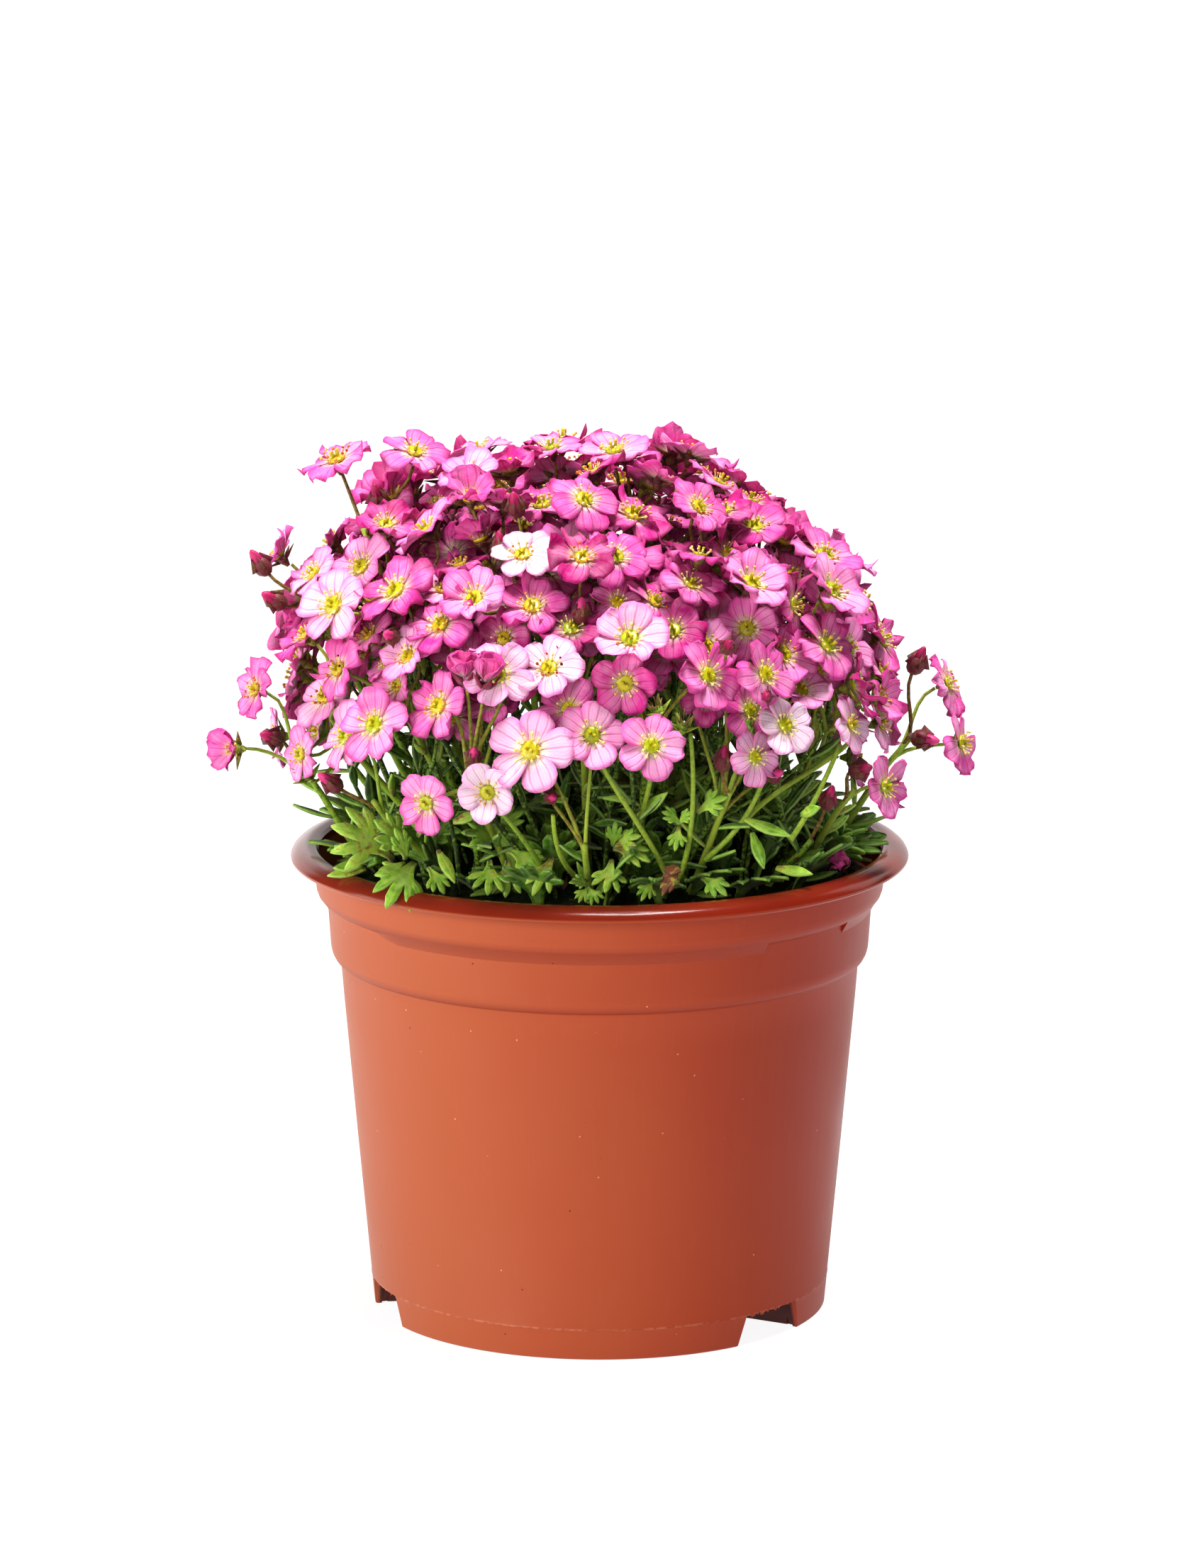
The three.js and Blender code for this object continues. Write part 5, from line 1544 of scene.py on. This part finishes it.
addInnerStems(growth["innerStems"])
draw = seededDraw(growth["bloomSeed"])
for spray in sprays:
    pile, way = piles[spray["clump"]], spray["direction"]
    path = addStem(pile["stalks"], spray, draw)
    addStemLeaves(pile["leaves"], path, (0.3, 0.75))
    for bloom in spray["blooms"] + spray["deep"]:
        growBloom(pile, bloom, way, draw)
    for bloom in spray["under"]:
        growUnder(pile, bloom, draw)
    for bud in spray["buds"]:
        addBud(pile["stalks"], bud["tip"], bud["aim"], bud["length"], draw(0.1, 0.9), draw)
        base = plus(bud["tip"], bud["aim"], -bud["length"] * 0.9)
        addPedicel(pile["stalks"], bud["hub"], way, base, bud["aim"], 0.65, draw)
fallen = {"place": (44.5, -31, 95), "aim": (-0.5, -0.7, 0.3), "size": 4.6, "tone": 0.85}  # hangs at the rim
pile, aim = piles[clumpAt(fallen["place"])], unit(fallen["aim"])
addTrumpet(pile["petals"], pile["stalks"], fallen["place"], aim, fallen["size"], fallen["tone"], draw)
print("blooms and stalks grown")

# heads that stand out in front: across, depth, height, the way they face, size and kind
extras = [
    ((-26, -55, 140.5), (-0.15, -0.3, 1), 7.4, "trumpet"),
    ((-20.3, -57, 140), (0.15, -0.3, 1), 7.4, "trumpet"),
    ((-56, -25, 110.5), (-0.4, -0.6, 0.7), 5, "spent"), ((15.5, -52, 125.5), (0.1, -0.5, 0.85), 4.6, "spent"),
    ((10.5, -54, 129), (-0.3, -0.5, 0.8), 4.4, "spent"), ((31, -50, 130.3), (0.1, -0.9, 0.2), 4.6, "bud"),
    ((33.8, -45, 114.8), (0.4, -0.7, 0.3), 4.8, "bud"), ((-8.6, -55, 112), (0.2, -0.8, 0.1), 4.2, "bud"),
    ((-28.6, -47, 108.6), (0.3, -0.8, -0.3), 4.6, "bud"), ((-16.3, -30, 165), (-0.2, -0.4, 0.9), 5.2, "bud"),
    ((24, -53, 141), (0.1, -0.8, 0.4), 4.8, "bud"), ((-40, -44, 141), (-0.3, -0.8, 0.3), 5, "bud"),
]
necks = {"trumpet": 1.15, "bud": 0.9, "spent": 0.5}  # how far behind the head its pedicel ends, in sizes
for point, aim, size, kind in extras:
    spray = nearestSpray(point, sprays)
    pile = piles[spray["clump"]]
    hub = stalkPoint(spray, draw(-5, 1))
    aim = unit(aim)
    if kind == "trumpet":
        addTrumpet(pile["petals"], pile["stalks"], point, aim, size, 0.62, draw)
    elif kind == "bud":
        addBud(pile["stalks"], point, aim, size, draw(0.2, 1), draw)
    else:
        addSpent(pile["stalks"], point, aim, size, draw)
    base = plus(point, aim, -necks[kind] * size)
    addPedicel(pile["stalks"], hub, spray["direction"], base, aim, 0.5, draw)

for index, (tag, cushion, pile) in enumerate(zip(tags, cushionNames, piles)):
    grown = ["spray_%02d" % (k + 1) for k, spray in enumerate(sprays) if spray["clump"] == index]
    finishPiece("petals_" + tag, pile["petals"], [petalSkin], grown, petalShape["thickness"])
    finishPiece("hearts_" + tag, pile["hearts"], [nectary, pollen])
    finishPiece("stalks_" + tag, pile["stalks"], [stalkSkin, budSkin, witheredSkin], grown)
    finishPiece("leaves_" + tag, pile["leaves"], [leafSkin], [cushion], leafShape["thickness"])
finishPiece("growthMat", makeMat(), [matSkin], cushionNames, 0.3)
print("clumps finished")


# Floor, light and camera

def makeFloor():
    part = bmesh.new()
    bmesh.ops.create_grid(part, x_segments=1, y_segments=1, size=9)
    # a white card behind the view, which the top of the rim mirrors
    upright = Matrix.Translation((0, 2.9, 0.75)) @ Matrix.Rotation(math.pi / 2, 4, "X")
    card = upright @ Matrix.Diagonal((2.6, 0.75, 1, 1))
    bmesh.ops.create_grid(part, x_segments=1, y_segments=1, size=1, matrix=card)
    mesh = bpy.data.meshes.new("floor")
    part.to_mesh(mesh)
    part.free()
    floor = bpy.data.objects.new("floor", mesh)
    scene.collection.objects.link(floor)
    material, _, shader, where = newMaterial("studio floor, painted, matt white")
    fill(shader, {
        "Base Color": linear("#6a6a6a"), "Roughness": 0.95, "Specular IOR Level": 0.1,
        "Emission Color": (1, 1, 1, 1),  # a lit acrylic table, brighter beyond the view on the left
        "Emission Strength": ranged(parted(where)[0], -0.14, -0.4, 0.84, 1.35)})
    mesh.materials.append(material)


def addLight(name, place, aim, size, power, colour):
    light = bpy.data.lights.new(name, "AREA")
    light.shape, light.size, light.size_y = "RECTANGLE", size[0], size[1]
    light.energy = power
    light.color = colour
    lamp = bpy.data.objects.new(name, light)
    lamp.location = place
    lamp.rotation_euler = (Vector(aim) - Vector(place)).to_track_quat("-Z", "Y").to_euler()
    scene.collection.objects.link(lamp)


makeFloor()
world = bpy.data.worlds.new("studio")
world.use_nodes = True
fill(world.node_tree.nodes["Background"], {"Color": (1, 1, 1, 1), "Strength": 0.03})
scene.world = world
addLight("key", (-1.35, -1.25, 0.5), (0, 0, 0.09), (0.9, 0.8), 21, (1, 0.985, 0.965))
addLight("top", (0.15, -0.1, 1.9), (0, 0, 0.14), (0.7, 0.7), 56, (1, 1, 1))
addLight("side", (-1.5, 0.1, 0.4), (0, 0, 0.06), (0.6, 0.9), 8, (1, 1, 1))
addLight("fill", (-0.35, -2.2, 0.9), (0, 0, 0.1), (0.8, 0.8), 9, (1, 1, 1))
addLight("back", (1.3, 1.0, 1.0), (0, 0, 0.1), (0.8, 0.8), 3, (1, 1, 1))
scene.view_settings.view_transform = "Standard"
scene.view_settings.gamma, scene.view_settings.exposure = 0.87, 0.14  # the contrast of the photograph

camera = bpy.data.objects.new("camera", bpy.data.cameras.new("camera"))
camera.data.lens = photo["lens"]
camera.data.clip_start, camera.data.clip_end = 0.05, 60
camera.location = tuple(value * metres for value in photo["place"])
camera.rotation_euler = (math.pi / 2 - photo["pitch"], 0, 0)
scene.collection.objects.link(camera)
scene.camera = camera
